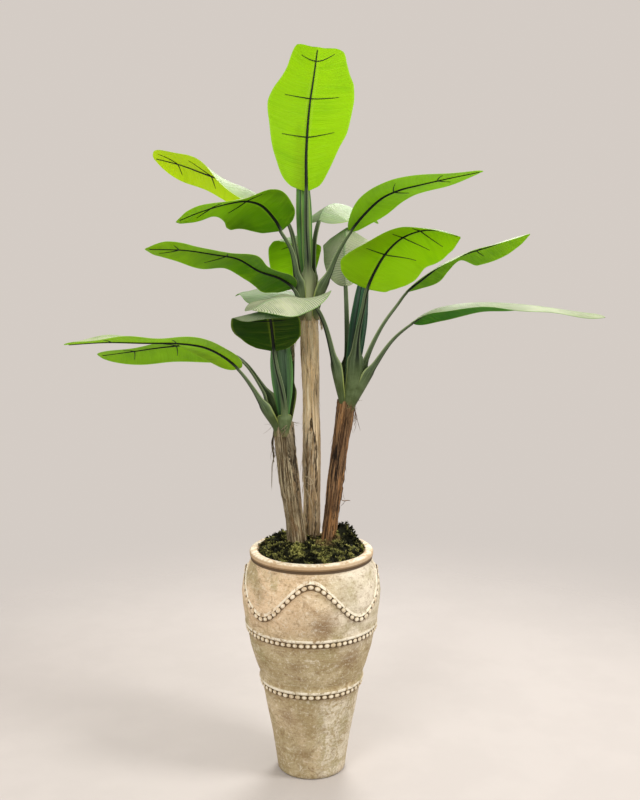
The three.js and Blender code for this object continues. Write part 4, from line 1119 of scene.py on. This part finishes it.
def moss_tuft():
    """One tuft: short curled blades that fan out from a point."""
    bundle = Bundle()
    random = np.random.default_rng(SEED)
    for k in range(TUFT_BLADES):
        turn = 2 * math.pi * k / TUFT_BLADES + random.uniform(-0.3, 0.3)
        lean = random.uniform(0.25, 1.0)
        length = random.uniform(*TUFT_LENGTHS)
        out = np.array([math.cos(turn), math.sin(turn), 0])
        side = np.array([-math.sin(turn), math.cos(turn), 0])
        rings = []
        for share, half in ((0, 1.7), (0.6, 1.6), (1, 0.3)):
            climb = length * share * (1.15 - 0.5 * share * lean)
            centre = out * (length * lean * share**1.3) + (0, 0, climb)
            rings.append([centre - side * half, centre + side * half, centre + out * half * 0.7])
        # tip: from a blade's foot to its end, for painted shade at the foot and painted highlight at the end.
        bundle.add_tube(np.array(rings), length, tip=np.repeat([0, 0.6, 1], 3))
    return bundle.make("moss_tuft", None)


# Trunks

def trunk_skin(bundle, name, row):
    """The ridged, split bark of one trunk."""
    rows, sides = 260, 96
    path = Path(row["axis"])
    f = np.linspace(0, 1, rows)
    centre, tangent = path.at(f), path.tangent(f)
    side, up = across(tangent, np.array([0.0, 1.0, 0.0]))
    s, j = grid_of(f, np.arange(sides) / sides)
    grain = Grain(SEED + len(name))
    drift = 0.06 * grain.field(j, s, 3, 6) + 0.02 * grain.field(j, s, 5, 14)
    ridges = (1.7 * grain.field(j + drift, s, 9, 7) + 1.3 * grain.field(j + drift, s, 22, 12)
              + 0.8 * grain.field(j + drift, s, 46, 16))
    plates = 1.6 * smooth(0.1, 0.35, grain.field(j + drift, s, 6, 7))
    rough = 0.35 * grain.field(j, s, 60, 120)
    knots = 1.2 * np.sin(17 * s + len(name))
    height = centre[:, 2][:, None]
    rows_up = np.array(row["peels"][::-1], float)
    middle, half = (np.interp(height, rows_up[:, 0], rows_up[:, k]) for k in (1, 2))
    apart = np.abs((180 - 360 * j - middle + 540) % 360 - 180)
    torn = half + PEEL_RAGGED * grain.field(j, s, 40, 60) * (half > 0)
    inner = smooth(1.5, -1.5, apart - torn) * (half > 0)
    husk = smooth(10, 0, np.abs(apart - torn - 7)) * (half > 4) * (grain.field(j, s, 12, 20) > -0.35)
    # The torn edge of a peel gets a dark line of painted shade.
    torn_edge_shade = smooth(9, 2, np.abs(apart - torn)) * (half > 4)
    rise = ridges * (1 - 0.5 * inner) + plates * (1 - inner) + rough + 1.2 * husk - PEEL_DEPTH * inner
    r = row["foot"] + (row["crown"] - row["foot"]) * s + knots + rise - 1.2
    r = r * (1 - 0.35 * smooth(0.985, 1.0, s))
    angle = 2 * math.pi * j
    points = rings_round(centre, side, up, r * np.cos(angle), r * np.sin(angle))
    # deep: low in the splits and along torn edges, where the bark is painted with shade.
    deep = smooth(-3.2, 1.6, rise + 0.6 * PEEL_DEPTH * inner) * (1 - 0.8 * torn_edge_shade)
    bundle.add_tube(points, path.length, deep=deep.ravel(), inner=inner.ravel(), husk=0.7 * husk.ravel())
    return path


def loose_strip(bundle, row, path, strip, seed):
    """A strip of bark that starts in the trunk and hangs a little clear of it, with a torn end."""
    turn, start, end, out, wide = strip
    random = np.random.default_rng(seed)
    top, foot = row["axis"][-1][2], row["axis"][0][2]
    a = math.radians(turn)
    outward = np.array([math.cos(a), math.sin(a), 0])
    side = np.array([-math.sin(a), math.cos(a), 0])
    for k in range(STRIP_THREADS):
        offset = (k - (STRIP_THREADS - 1) / 2) / STRIP_THREADS * wide
        reach = random.uniform(0.6, 1.05)
        sway, tuck = random.uniform(-7, 7), random.uniform(-3, 3)
        stations = np.linspace(0, reach, 12)
        z = start + (end - start) * stations
        f = (z - foot) / (top - foot)
        radius = row["foot"] + (row["crown"] - row["foot"]) * f
        away = -4 + (out + 5 + tuck) * smooth(0.0, 0.6, stations) + 2 * np.sin(stations * 9 + k)
        centre = (path.at(np.clip(f, 0, 1)) * (1, 1, 0) + outward * (radius + away)[:, None]
                  + side * (offset * (1 - 0.4 * stations) + sway * stations**2)[:, None])
        centre[:, 2] = z
        half = wide / STRIP_THREADS * 0.75 * (1 - 0.75 * stations / reach) + 0.4
        turns = circle(6)
        rings = (centre[:, None] + side * (half[:, None] * np.cos(turns))[..., None]
                 + outward * (0.9 * np.sin(turns + 0.4 * k))[None, :, None])
        bundle.add_tube(rings, abs(end - start), start=k * 0.13,
                        deep=0.7, inner=0.0, husk=0.5 + 0.25 * (k % 3))


def straw(bundle, points):
    """A stray fibre of bark that runs through given points."""
    path = Path(points)
    f = np.linspace(0, 1, 26)
    side, up = across(path.tangent(f), np.array([0.2, 1.0, 0.1]))
    half = 0.5 + 1.0 * np.sin(f * math.pi) ** 0.5
    turns = circle(5)
    rings = rings_round(path.at(f), side, up, half[:, None] * np.cos(turns), half[:, None] * np.sin(turns))
    bundle.add_tube(rings, path.length, deep=0.9, inner=0.0, husk=1.0)


def fibre():
    """One loose fibre, lying along x, bowed and thin at its ends."""
    stations = np.linspace(0, 1, 7)
    centre = np.stack([stations * FIBRE_LENGTH, 2.5 * np.sin(stations * 3),
                       3.2 * np.sin(stations * math.pi) - 0.3], -1)
    half = 0.55 * np.sin(stations * math.pi * 0.9 + 0.25) + 0.12
    turns = circle(4)
    ring = np.stack([np.zeros(4), 1.5 * np.cos(turns), 0.7 * np.sin(turns)], -1)
    points = centre[:, None] + ring[None] * half[:, None, None]
    return make("fibre", points, tube_faces(7, 4), None, ring_uv(7, 4, FIBRE_LENGTH),
                {"deep": np.full(28, 0.8), "husk": np.full(28, 0.4)})


# Furled leaves

def furled_skin(bundle, axis, radius):
    """A leaf rolled up: overlapping pleats round a spindle, with a slight twist."""
    rows, sides, pleats = 90, 72, 7
    path = Path(axis)
    f = np.linspace(0, 1, rows)
    wide = eased([(i / (len(radius) - 1), r) for i, r in enumerate(radius)], f)[:, 0]
    side, up = across(path.tangent(f), np.array([0.0, 1.0, 0.0]))
    s, j = grid_of(f, np.arange(sides) / sides)
    phase = (j * pleats + 0.5 * s) % 1
    fold = np.where(phase < 0.8, phase / 0.8, (1 - phase) / 0.2)
    r = wide[:, None] * (0.84 + 0.17 * fold)
    angle = 2 * math.pi * j
    points = rings_round(path.at(f), side, up, r * np.cos(angle), r * np.sin(angle))
    bundle.add_tube(points, path.length, fold=fold.ravel())


# Leaves

class Leaf:
    """One open leaf: a cloth blade on a stalk that runs on as its midrib."""

    def __init__(self, name, row, rows, columns, pitch, relief):
        self.name, self.row = name, row
        self.rows, self.columns, self.pitch, self.relief = rows, columns, pitch, relief
        self.blade = Path(row["path"], row["stalk"], len(row["path"]) - 1)
        crown = np.array(TRUNKS[row["crown"]]["axis"][-1], float)
        foot = np.array(row["path"][0], float)
        self.inward = unit((crown - foot) * (1, 1, 0))
        below = foot - self.inward * 7 - (0, 0, SHEATH_BELOW[row["crown"]])
        self.stem = Path([below, *row["path"]], 0, row["stalk"] + 1)
        self.random = np.random.default_rng(sum(map(ord, name)))
        ends = (END_HALF, END_HALF)
        self.edges = [(0, *ends), *row["edges"], (1, *ends)] if "edges" in row else None
        self.half = row.get("half") or max(max(pair) for _, *pair in row["edges"])

    def outline(self, t):
        wide = self.row["wide"]
        before = np.sqrt(np.clip(1 - np.clip(1 - t / wide, 0, 1) ** self.row.get("full", 2.5), 0, 1))
        after = np.clip(1 - np.clip((t - wide) / (1 - wide), 0, 1) ** 2.9, 0, 1) ** self.row.get("blunt", 0.6)
        return np.where(t < wide, before, after)

    def width(self, t, u):
        if not self.edges:
            return np.maximum(self.half * self.outline(t), END_HALF)
        both = flowing(self.edges, t)
        return np.maximum(np.where(u < 0, both[..., 0], both[..., 1]), END_HALF)

    def middle(self, t, u):
        """Points of the blade's middle surface for a grid of places along and across it."""
        path = self.blade
        tangent = path.tangent(t[:, 0], BEND_REACH)[:, None]
        side, up = across(tangent, np.array(self.row["up"], float))
        full = self.width(t, u)
        w = full * np.abs(u)
        lift = np.radians(np.where(u < 0, three(self.row["left"], t), three(self.row["right"], t)))
        height, count, phase = self.row["wave"]
        turn = 2 * math.pi * t
        ripple = height * u**2 * np.sin(turn * count + phase + np.where(u < 0, 1.3, 0))
        ripple = ripple * np.minimum(1, 6 * t) * np.minimum(1, full / WAVE_WIDTH)
        sag = -0.10 * w * np.abs(u) ** 1.5 * np.cos(lift) * (1 if self.row["up"][2] else 0)
        notch = self.row.get("notch", 0) * np.sin(np.clip(w / self.half, 0, 1) * math.pi) ** 2
        notch = notch * smooth(0.80, 0.97, t)
        at = path.at(t[:, 0])[:, None]
        return (at + side * (np.sign(u) * w * np.cos(lift))[..., None]
                + up * (w * np.sin(lift) + ripple + 0.35 * sag)[..., None] + tangent * notch[..., None])

    def ribs(self, t, u):
        """Pressed ribs that leave the midrib square and sweep towards the tip."""
        run = t * self.blade.length - 0.22 * self.half * np.abs(u) ** 1.7
        crest = np.sin(2 * math.pi * run / self.pitch)
        fade = smooth(0.02, 0.12, np.abs(u)) * smooth(1.0, 0.86, np.abs(u))
        fade = fade * smooth(0, 0.06, t) * smooth(1, 0.94, t)
        return self.relief * crest * fade, run

    def faces_of(self, points):
        over, along = np.gradient(points, axis=1), np.gradient(points, axis=0)
        return unit(np.cross(over, along))

    def blade_mesh(self, material):
        t, u = grid_of(np.linspace(0, 1, self.rows), np.linspace(-1, 1, self.columns))
        points = self.middle(t, u)
        normal = self.faces_of(points)
        relief, run = self.ribs(t, u)
        points = points + normal * relief[..., None]
        top, under = points + normal * SHEET / 2, points - normal * SHEET / 2
        n, m = t.shape
        i, j = grid_of(np.arange(n - 1), np.arange(m - 1))
        a = (i * m + j).ravel()
        quads = np.stack([a, a + 1, a + m + 1, a + m], -1)
        edge = np.concatenate([np.arange(m), np.arange(1, n) * m + m - 1,
                               (n - 1) * m + np.arange(m - 2, -1, -1), np.arange(n - 2, 0, -1) * m])
        after = np.roll(edge, -1)
        rim = np.stack([after, edge, edge + n * m, after + n * m], -1)
        faces = np.concatenate([quads, quads[:, ::-1] + n * m, rim]).tolist()
        uv = np.stack([run * MM, (u + 1) / 2], -1).reshape(-1, 2)
        side = np.repeat([1.0, 0.0], n * m)
        # Painted light and shade of the underside, from its value at the base to that at the tip; the painted
        # sheen of the top is even.
        tone = np.tile(np.interp(t, (0, 1), self.row["tone"]).ravel(), 2)
        values = {"top": side, "tone": tone, "paler": np.full(2 * n * m, self.row["pale"])}
        return make("leaf_" + self.name, np.concatenate([top.reshape(-1, 3), under.reshape(-1, 3)]), faces,
                    material, np.tile(uv, (2, 1)), values, sharp=55)

    def under(self, t, u, deep):
        """Points a little below the cloth."""
        t, u = np.broadcast_arrays(np.asarray(t, float), np.asarray(u, float))
        grid_t = np.clip(t[:, None] + np.array([-0.005, 0, 0.005]), 0, 1)
        result = []
        for row_t, row_u, d in zip(grid_t, u, np.broadcast_to(deep, t.shape)):
            tt, uu = grid_of(row_t, np.clip(row_u + np.array([-0.03, 0, 0.03]), -1, 1))
            patch = self.middle(tt, uu)
            normal = unit(np.cross(patch[1, 2] - patch[1, 0], patch[2, 1] - patch[0, 1]))
            result.append(patch[1, 1] - normal * (SHEET / 2 + d))
        return np.array(result)

    def stalk_rings(self, around=18, outer=13):
        """Rings of the sheath and stalk: a channel, open on the side that faces up or inwards."""
        stations = 74
        share = np.linspace(0, 1, stations)
        tall, wide = self.row.get("sheath", (1, 1))
        shrink = tall * min(1, self.stem.length / SHEATH_STEM) / self.stem.length
        rows = [(height * shrink, half * wide, *rest) for height, half, *rest in SHEATH] + STALK
        half, depth, lift = eased(rows, share).T
        _, start_up = across(self.blade.tangent(np.array([0.0])), np.array(self.row["up"], float))
        ease = smooth(0, 1, share)[:, None]
        rough = self.inward * (1 - ease) + start_up * ease
        side, up = across(self.stem.tangent(share), rough)
        inner = np.linspace(0, math.pi, around - outer + 2)[1:-1]
        turn = np.concatenate([np.linspace(math.pi, 2 * math.pi, outer), inner])
        x, y = np.cos(turn), np.sin(turn)
        down = -SHEET / 2 - 0.2
        channel = y > 1e-6
        across_by = half[:, None] * np.where(channel, 0.82 * x, np.sign(x) * np.abs(x) ** 0.9)
        hollow = 0.30 * depth[:, None] * smooth(0.95, 0.6, share)[:, None]
        rise = np.where(channel, lift[:, None] * x**2 - hollow * y,
                        depth[:, None] * np.minimum(y, 0) + lift[:, None] * np.abs(x) ** 3)
        return rings_round(self.stem.at(share), side, up, across_by, rise + down), share

    def midrib_rings(self, around=18, outer=13):
        stations = 70
        t = np.linspace(0.012, 0.975, stations)
        half = MIDRIB_BASE[0] + (MIDRIB_TIP[0] - MIDRIB_BASE[0]) * t**0.8
        deep = MIDRIB_BASE[1] + (MIDRIB_TIP[1] - MIDRIB_BASE[1]) * t**0.8
        tops = [self.under(t, s * half / self.width(t, s), -0.25) for s in (-1, 0, 1)]
        grid = np.stack([self.middle(np.clip(t[:, None] + e, 0, 1), np.zeros((stations, 1)))[:, 0]
                         for e in (-0.01, 0.01)])
        normal = unit(np.cross(tops[2] - tops[0], grid[1] - grid[0]))
        turn = np.linspace(math.pi, 2 * math.pi, outer)
        x, y = np.cos(turn), np.sin(turn)
        left, mid, right = (top[:, None] for top in tops)

        def chord(x):
            """Points under the cloth from its left side over the middle to its right side."""
            x = x[None, :, None]
            return np.where(x < 0, mid + (left - mid) * -x, mid + (right - mid) * x)

        lower = chord(x) + normal[:, None] * (deep[:, None] * y)[..., None]
        upper = chord(np.linspace(1, -1, around - outer + 2)[1:-1])
        return np.concatenate([lower, upper], 1), t

    def side_wire(self, bundle, place, reach, side):
        """A thin wire on the underside that curves from the midrib towards the tip."""
        s = np.linspace(0.0, 1, 16)
        sweep = self.row.get("sweep", WIRE_SWEEP)[0 if side < 0 else 1]
        sweep = sweep + self.random.uniform(-0.004, 0.004)
        t = np.minimum(0.97, place + sweep * s**1.3)
        centre = self.under(t, side * reach * s, 1.0 - 0.4 * s)
        ahead = unit(np.gradient(centre, axis=0))
        low = self.under(t, side * reach * s, 4.0)
        down = unit(low - centre)
        flat = np.cross(ahead, down)
        size = 2.0 - 1.2 * s
        turn = circle(6)
        rings = rings_round(centre, flat, down, size[:, None] * np.cos(turn), size[:, None] * np.sin(turn))
        bundle.add_tube(rings, 80, place=1.5, cream=0)

    def stalk_mesh(self, material):
        bundle = Bundle()
        stem, share = self.stalk_rings()
        rib, t = self.midrib_rings()
        rings = np.concatenate([stem, rib])
        place = np.repeat(np.concatenate([share, 1 + t]), rings.shape[1])
        bundle.add_tube(rings, self.stem.length + self.blade.length, place=place,
                        cream=self.row.get("cream", 0))
        for where, reach in self.row["wires"]:
            for side in (-1, 1):
                self.side_wire(bundle, where, reach, side)
        return bundle.make("stalk_piece_" + self.name, material, sharp=70)


# Settings

def colour_prop(label, about, value):
    return FloatVectorProperty(name=label, description=about, default=value, subtype="COLOR", size=3,
                               min=0, max=1)


def colours_of(settings, *names):
    return {name: tuple(getattr(settings, name)) for name in names}


class UrnSettings(bpy.types.PropertyGroup):
    sides: IntProperty(name="Sides", description="Divisions round the wall", default=200, min=24)
    bead_height: FloatProperty(name="Bead height", description="Half height of a bead", unit="LENGTH",
                               default=0.0085)
    bead_depth: FloatProperty(name="Bead depth", description="How far a bead stands out", unit="LENGTH",
                              default=0.0066)
    cream: colour_prop("Cream", "Main wash of the clay", (0.66, 0.53, 0.35))
    tan: colour_prop("Tan", "Clay under the wash", (0.42, 0.30, 0.17))
    peach: colour_prop("Peach", "Warm patches high on the wall", (0.82, 0.62, 0.40))
    olive: colour_prop("Olive", "Greenish patina low on the wall", (0.36, 0.31, 0.15))
    # Brown: rubbed streaks and patches, and also the painted shade under the rim's lip and the painted shadow
    # below each row of beads.
    brown: colour_prop("Brown", "Rubbed brown streaks", (0.22, 0.135, 0.06))
    # Pale: worn spots, and also the painted highlight on the wall's right side.
    pale: colour_prop("Pale", "Worn highlights", (0.88, 0.83, 0.69))
    rim: colour_prop("Rim", "Wash on the rim", (0.50, 0.35, 0.20))
    # Crease: the wash left in the creases, and also the painted shadow line at the rim's neck.
    crease: colour_prop("Crease", "Wash left in the creases", (0.085, 0.052, 0.026))


class MossSettings(bpy.types.PropertyGroup):
    density: FloatProperty(name="Tufts per square metre", description="How thickly tufts stand",
                           default=8800)
    # Bright is painted highlight on the tips; dark is the moss's darkest colour and the painted shade of its
    # hollows.
    bright: colour_prop("Bright", "Tips of the moss", (0.60, 0.58, 0.18))
    green: colour_prop("Green", "Moss in the light", (0.15, 0.155, 0.040))
    dark: colour_prop("Dark", "Hollows of the moss", (0.010, 0.011, 0.005))
    brown: colour_prop("Brown", "Dry moss", (0.19, 0.13, 0.055))


class TrunkSettings(bpy.types.PropertyGroup):
    fibres: FloatProperty(name="Fibres per square metre", description="Loose fibres on the bark",
                          default=2600)
    tan: colour_prop("Tan", "Bark of the middle trunk", (0.80, 0.60, 0.33))
    grey: colour_prop("Grey", "Bark of the left trunk", (0.235, 0.17, 0.085))
    red: colour_prop("Red", "Bark of the right trunk", (0.13, 0.062, 0.026))


class LeafSettings(bpy.types.PropertyGroup):
    rows: IntProperty(name="Rows", description="Divisions along a blade", default=190, min=20)
    columns: IntProperty(name="Columns", description="Divisions across a blade", default=21, min=5)
    pitch: FloatProperty(name="Fold pitch", description="Distance between soft folds in millimetres",
                         default=13.0)
    relief: FloatProperty(name="Fold relief", description="Height of the soft folds in millimetres",
                          default=0.3)
    sheerness: FloatProperty(name="Sheerness", description="Share of light let through", subtype="FACTOR",
                             default=0.55, min=0, max=1)
    edge: colour_prop("Edge", "Cut edge of the cloth", (0.50, 0.72, 0.06))
    # Pale: the painted sheen on the tops of leaves.
    pale: colour_prop("Pale", "Palest top of a leaf", (0.58, 0.60, 0.42))
    sage: colour_prop("Sage", "Top of a leaf", (0.24, 0.34, 0.19))
    mint: colour_prop("Mint", "Cool patches on top", (0.24, 0.40, 0.18))
    rib: colour_prop("Rib", "Lines of the ribs on top", (0.09, 0.15, 0.08))


class StageSettings(bpy.types.PropertyGroup):
    floor: colour_prop("Floor", "Floor", (0.54, 0.51, 0.49))
    sky: colour_prop("Surroundings", "Light all round", (0.66, 0.605, 0.56))
    strength: FloatProperty(name="Surroundings strength", description="Light all round", default=1.0)
    reach: FloatProperty(name="Floor", description="Radius of the floor", default=3.2, unit="LENGTH")
    key: FloatProperty(name="Key", description="Power of the main light", default=120, unit="POWER")
    front: FloatProperty(name="Front", description="Power of the light beside the camera",
                         default=80, unit="POWER")
    back: FloatProperty(name="Back", description="Power of the light behind the leaves",
                        default=130, unit="POWER")


# Operators

def area_light(name, place, aim, size, colour, power):
    data = bpy.data.lights.new(name, "AREA")
    data.shape, data.size, data.energy, data.color = "DISK", size, power, colour
    made = bpy.data.objects.new(name, data)
    made.location = place
    made.rotation_euler = (Vector(aim) - Vector(place)).to_track_quat("-Z", "Y").to_euler()
    made.visible_camera = False
    bpy.context.scene.collection.objects.link(made)


class PLANT_OT_stage(bpy.types.Operator):
    """Sets the camera, the soft lights and the plain floor"""

    bl_idname = "plant.stage"
    bl_label = "Stage"

    def execute(self, context):
        s = context.scene.plant_stage
        data = bpy.data.cameras.new("camera")
        data.lens, data.sensor_width = CAMERA_LENS, CAMERA_SENSOR
        camera = bpy.data.objects.new("camera", data)
        camera.location = CAMERA_PLACE
        camera.rotation_euler = (math.radians(90 - CAMERA_TILT), 0, 0)
        context.scene.collection.objects.link(camera)
        context.scene.camera = camera
        world = bpy.data.worlds.new("surroundings")
        world.use_nodes = True
        light = world.node_tree.nodes["Background"]
        light.inputs["Color"].default_value = (*s.sky, 1)
        light.inputs["Strength"].default_value = s.strength
        context.scene.world = world
        context.scene.view_settings.view_transform = "Standard"
        turn = circle(128)
        edge = np.stack([np.cos(turn), np.sin(turn), 0 * turn], -1) * s.reach / MM
        make("floor", edge, [list(range(len(turn)))],
                      plain("floor_paint", tuple(s.floor), 0.8, fade=(0.35 * s.reach, 0.97 * s.reach)))
        for name, light in LIGHTS.items():
            area_light(name, *light, getattr(s, name))
        return {"FINISHED"}


class PLANT_OT_urn(bpy.types.Operator):
    """Turns the urn and lays its rows of beads"""

    bl_idname = "plant.urn"
    bl_label = "Urn"

    def execute(self, context):
        s = context.scene.plant_urn
        colours = colours_of(s, "cream", "tan", "peach", "olive", "brown", "pale", "rim", "crease")
        wall = wall_clay("antiqued_clay", colours)
        raised = bead_clay("antiqued_clay_beads", colours)
        settle(urn_body(s.sides, wall), "antiqued_terracotta", "urn")
        growth = bead_growth()
        for name, height, swing, beads, half in BEAD_ROWS:
            made = make("bead_" + name, row_line(height, swing), [], None)
            made.data.edges.add(ROW_POINTS)
            first = np.arange(ROW_POINTS)
            pairs = np.stack([first, (first + 1) % ROW_POINTS], -1)
            made.data.edges.foreach_set("vertices", pairs.ravel())
            made.data.update()
            growth.grow(made, Beads=beads, Length=half, Height=s.bead_height,
                        Depth=s.bead_depth, Material=raised)
            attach(made, "root")
        _, height, swing, _, _ = BEAD_ROWS[2]
        rope = raised_line(height, swing, ROPE_LINE, ROPE_LINE_THICK, wall, "rope_line")
        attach(rope, "root")
        return {"FINISHED"}


class PLANT_OT_moss(bpy.types.Operator):
    """Grows the moss and finishes the fill under it"""

    bl_idname = "plant.moss"
    bl_label = "Moss and fill"

    def execute(self, context):
        s = context.scene.plant_moss
        finish = mossy("dried_moss", colours_of(s, "bright", "green", "dark", "brown"))
        tuft = moss_tuft()
        cushion = moss_cushion(finish)
        growth = scatter_growth("moss_tufts", upright=True)
        growth.grow(cushion, Shape=tuft, Density=s.density, Smallest=0.75, Largest=1.4, Lean=0.9,
                    Material=finish)
        bpy.data.objects.remove(tuft)
        settle(cushion, "dried_moss", "moss")
        fill = frame["nodes"]["potting_fill"]
        fill.data.materials.clear()
        fill.data.materials.append(plain("dark_fill", FILL_COLOUR, 0.95))
        return {"FINISHED"}


class PLANT_OT_trunks(bpy.types.Operator):
    """Builds the three fibrous trunks with their loose strips and fibres"""

    bl_idname = "plant.trunks"
    bl_label = "Trunks"

    def execute(self, context):
        s = context.scene.plant_trunks
        tints = {"middle": tuple(s.tan), "left": tuple(s.grey), "right": tuple(s.red)}
        barks = {}
        for name, (colours, fair) in BARKS.items():
            # black: the painted shade in the bark's splits and along torn edges.
            black = tuple(0.25 * v for v in colours["dark"])
            barks[name] = bark("bark_" + name, {**colours, "tan": tints[name], "black": black}, fair)
        shape = fibre()
        growth = scatter_growth("bark_fibres", upright=False)
        for number, (name, row) in enumerate(TRUNKS.items()):
            bundle = Bundle()
            path = trunk_skin(bundle, name, row)
            for k, strip in enumerate(row["strips"]):
                loose_strip(bundle, row, path, strip, SEED + 10 * number + k)
            for points in row["straws"]:
                straw(bundle, points)
            made = bundle.make("bark_" + name, barks[name])
            growth.grow(made, Shape=shape, Density=s.fibres, Smallest=0.4, Largest=1.2, Lean=0.12,
                        Seed=number, Material=barks[name])
            settle(made, "fibrous_bark_" + name, "trunk_" + name)
        bpy.data.objects.remove(shape)
        return {"FINISHED"}


class PLANT_OT_furled_leaves(bpy.types.Operator):
    """Rolls the furled leaves that stand in the crowns"""

    bl_idname = "plant.furled_leaves"
    bl_label = "Furled leaves"

    def execute(self, context):
        for name, (axis, radius, look) in SPEARS.items():
            bundle = Bundle()
            furled_skin(bundle, axis, radius)
            colours, sides = FURLED_LOOKS[look]
            cloth = furled_cloth("furled_cloth_" + look, colours, sides)
            made = bundle.make("furled_" + name, cloth, sharp=35)
            settle(made, "furled_leaf", "furled_leaf_" + name)
        return {"FINISHED"}


class PLANT_OT_leaves(bpy.types.Operator):
    """Builds each open leaf: its pleated blade, and the stalk that runs on as its midrib"""

    bl_idname = "plant.leaves"
    bl_label = "Leaves"

    def execute(self, context):
        s = context.scene.plant_leaves
        colours = colours_of(s, "edge", "pale", "sage", "mint", "rib")
        cloths = {name: leaf_cloth("leaf_cloth_" + name, colours, shaded_and_lit, s.sheerness)
                  for name, shaded_and_lit in LIT_AND_SHADED_CLOTHS.items()}
        stalk = moulded_stalk("moulded_stalk", STALK_COLOURS)
        for name, row in LEAVES.items():
            leaf = Leaf(name, row, s.rows, s.columns, s.pitch, s.relief)
            settle(leaf.blade_mesh(cloths[row["cloth"]]), "leaf_fabric", "blade_" + name)
            settle(leaf.stalk_mesh(stalk), "moulded_stalk", "stalk_" + name)
        return {"FINISHED"}


class PLANT_PT_panel(bpy.types.Panel):
    """Lists the steps and sizes of the plant"""

    bl_idname = "PLANT_PT_panel"
    bl_label = "Banana Plant"
    bl_space_type = "VIEW_3D"
    bl_region_type = "UI"
    bl_category = "Banana Plant"

    def draw(self, context):
        for operator, settings in STEPS:
            self.layout.operator(operator.bl_idname)
            if settings:
                group = getattr(context.scene, settings)
                for key in group.__annotations__:
                    self.layout.prop(group, key)


GROUPS = {"plant_stage": StageSettings, "plant_urn": UrnSettings, "plant_moss": MossSettings,
          "plant_trunks": TrunkSettings, "plant_leaves": LeafSettings}
STEPS = [(PLANT_OT_stage, "plant_stage"), (PLANT_OT_urn, "plant_urn"), (PLANT_OT_moss, "plant_moss"),
         (PLANT_OT_trunks, "plant_trunks"), (PLANT_OT_furled_leaves, None), (PLANT_OT_leaves, "plant_leaves")]
CLASSES = [*GROUPS.values(), *(operator for operator, _ in STEPS), PLANT_PT_panel]


def register():
    for cls in CLASSES:
        bpy.utils.register_class(cls)
    for name, group in GROUPS.items():
        setattr(bpy.types.Scene, name, PointerProperty(type=group))


def unregister():
    for name in GROUPS:
        delattr(bpy.types.Scene, name)
    for cls in reversed(CLASSES):
        bpy.utils.unregister_class(cls)


def main():
    register()
    bpy.ops.plant.stage()
    bpy.ops.plant.urn()
    bpy.ops.plant.moss()
    bpy.ops.plant.trunks()
    bpy.ops.plant.furled_leaves()
    bpy.ops.plant.leaves()


if __name__ == "__main__":
    main()
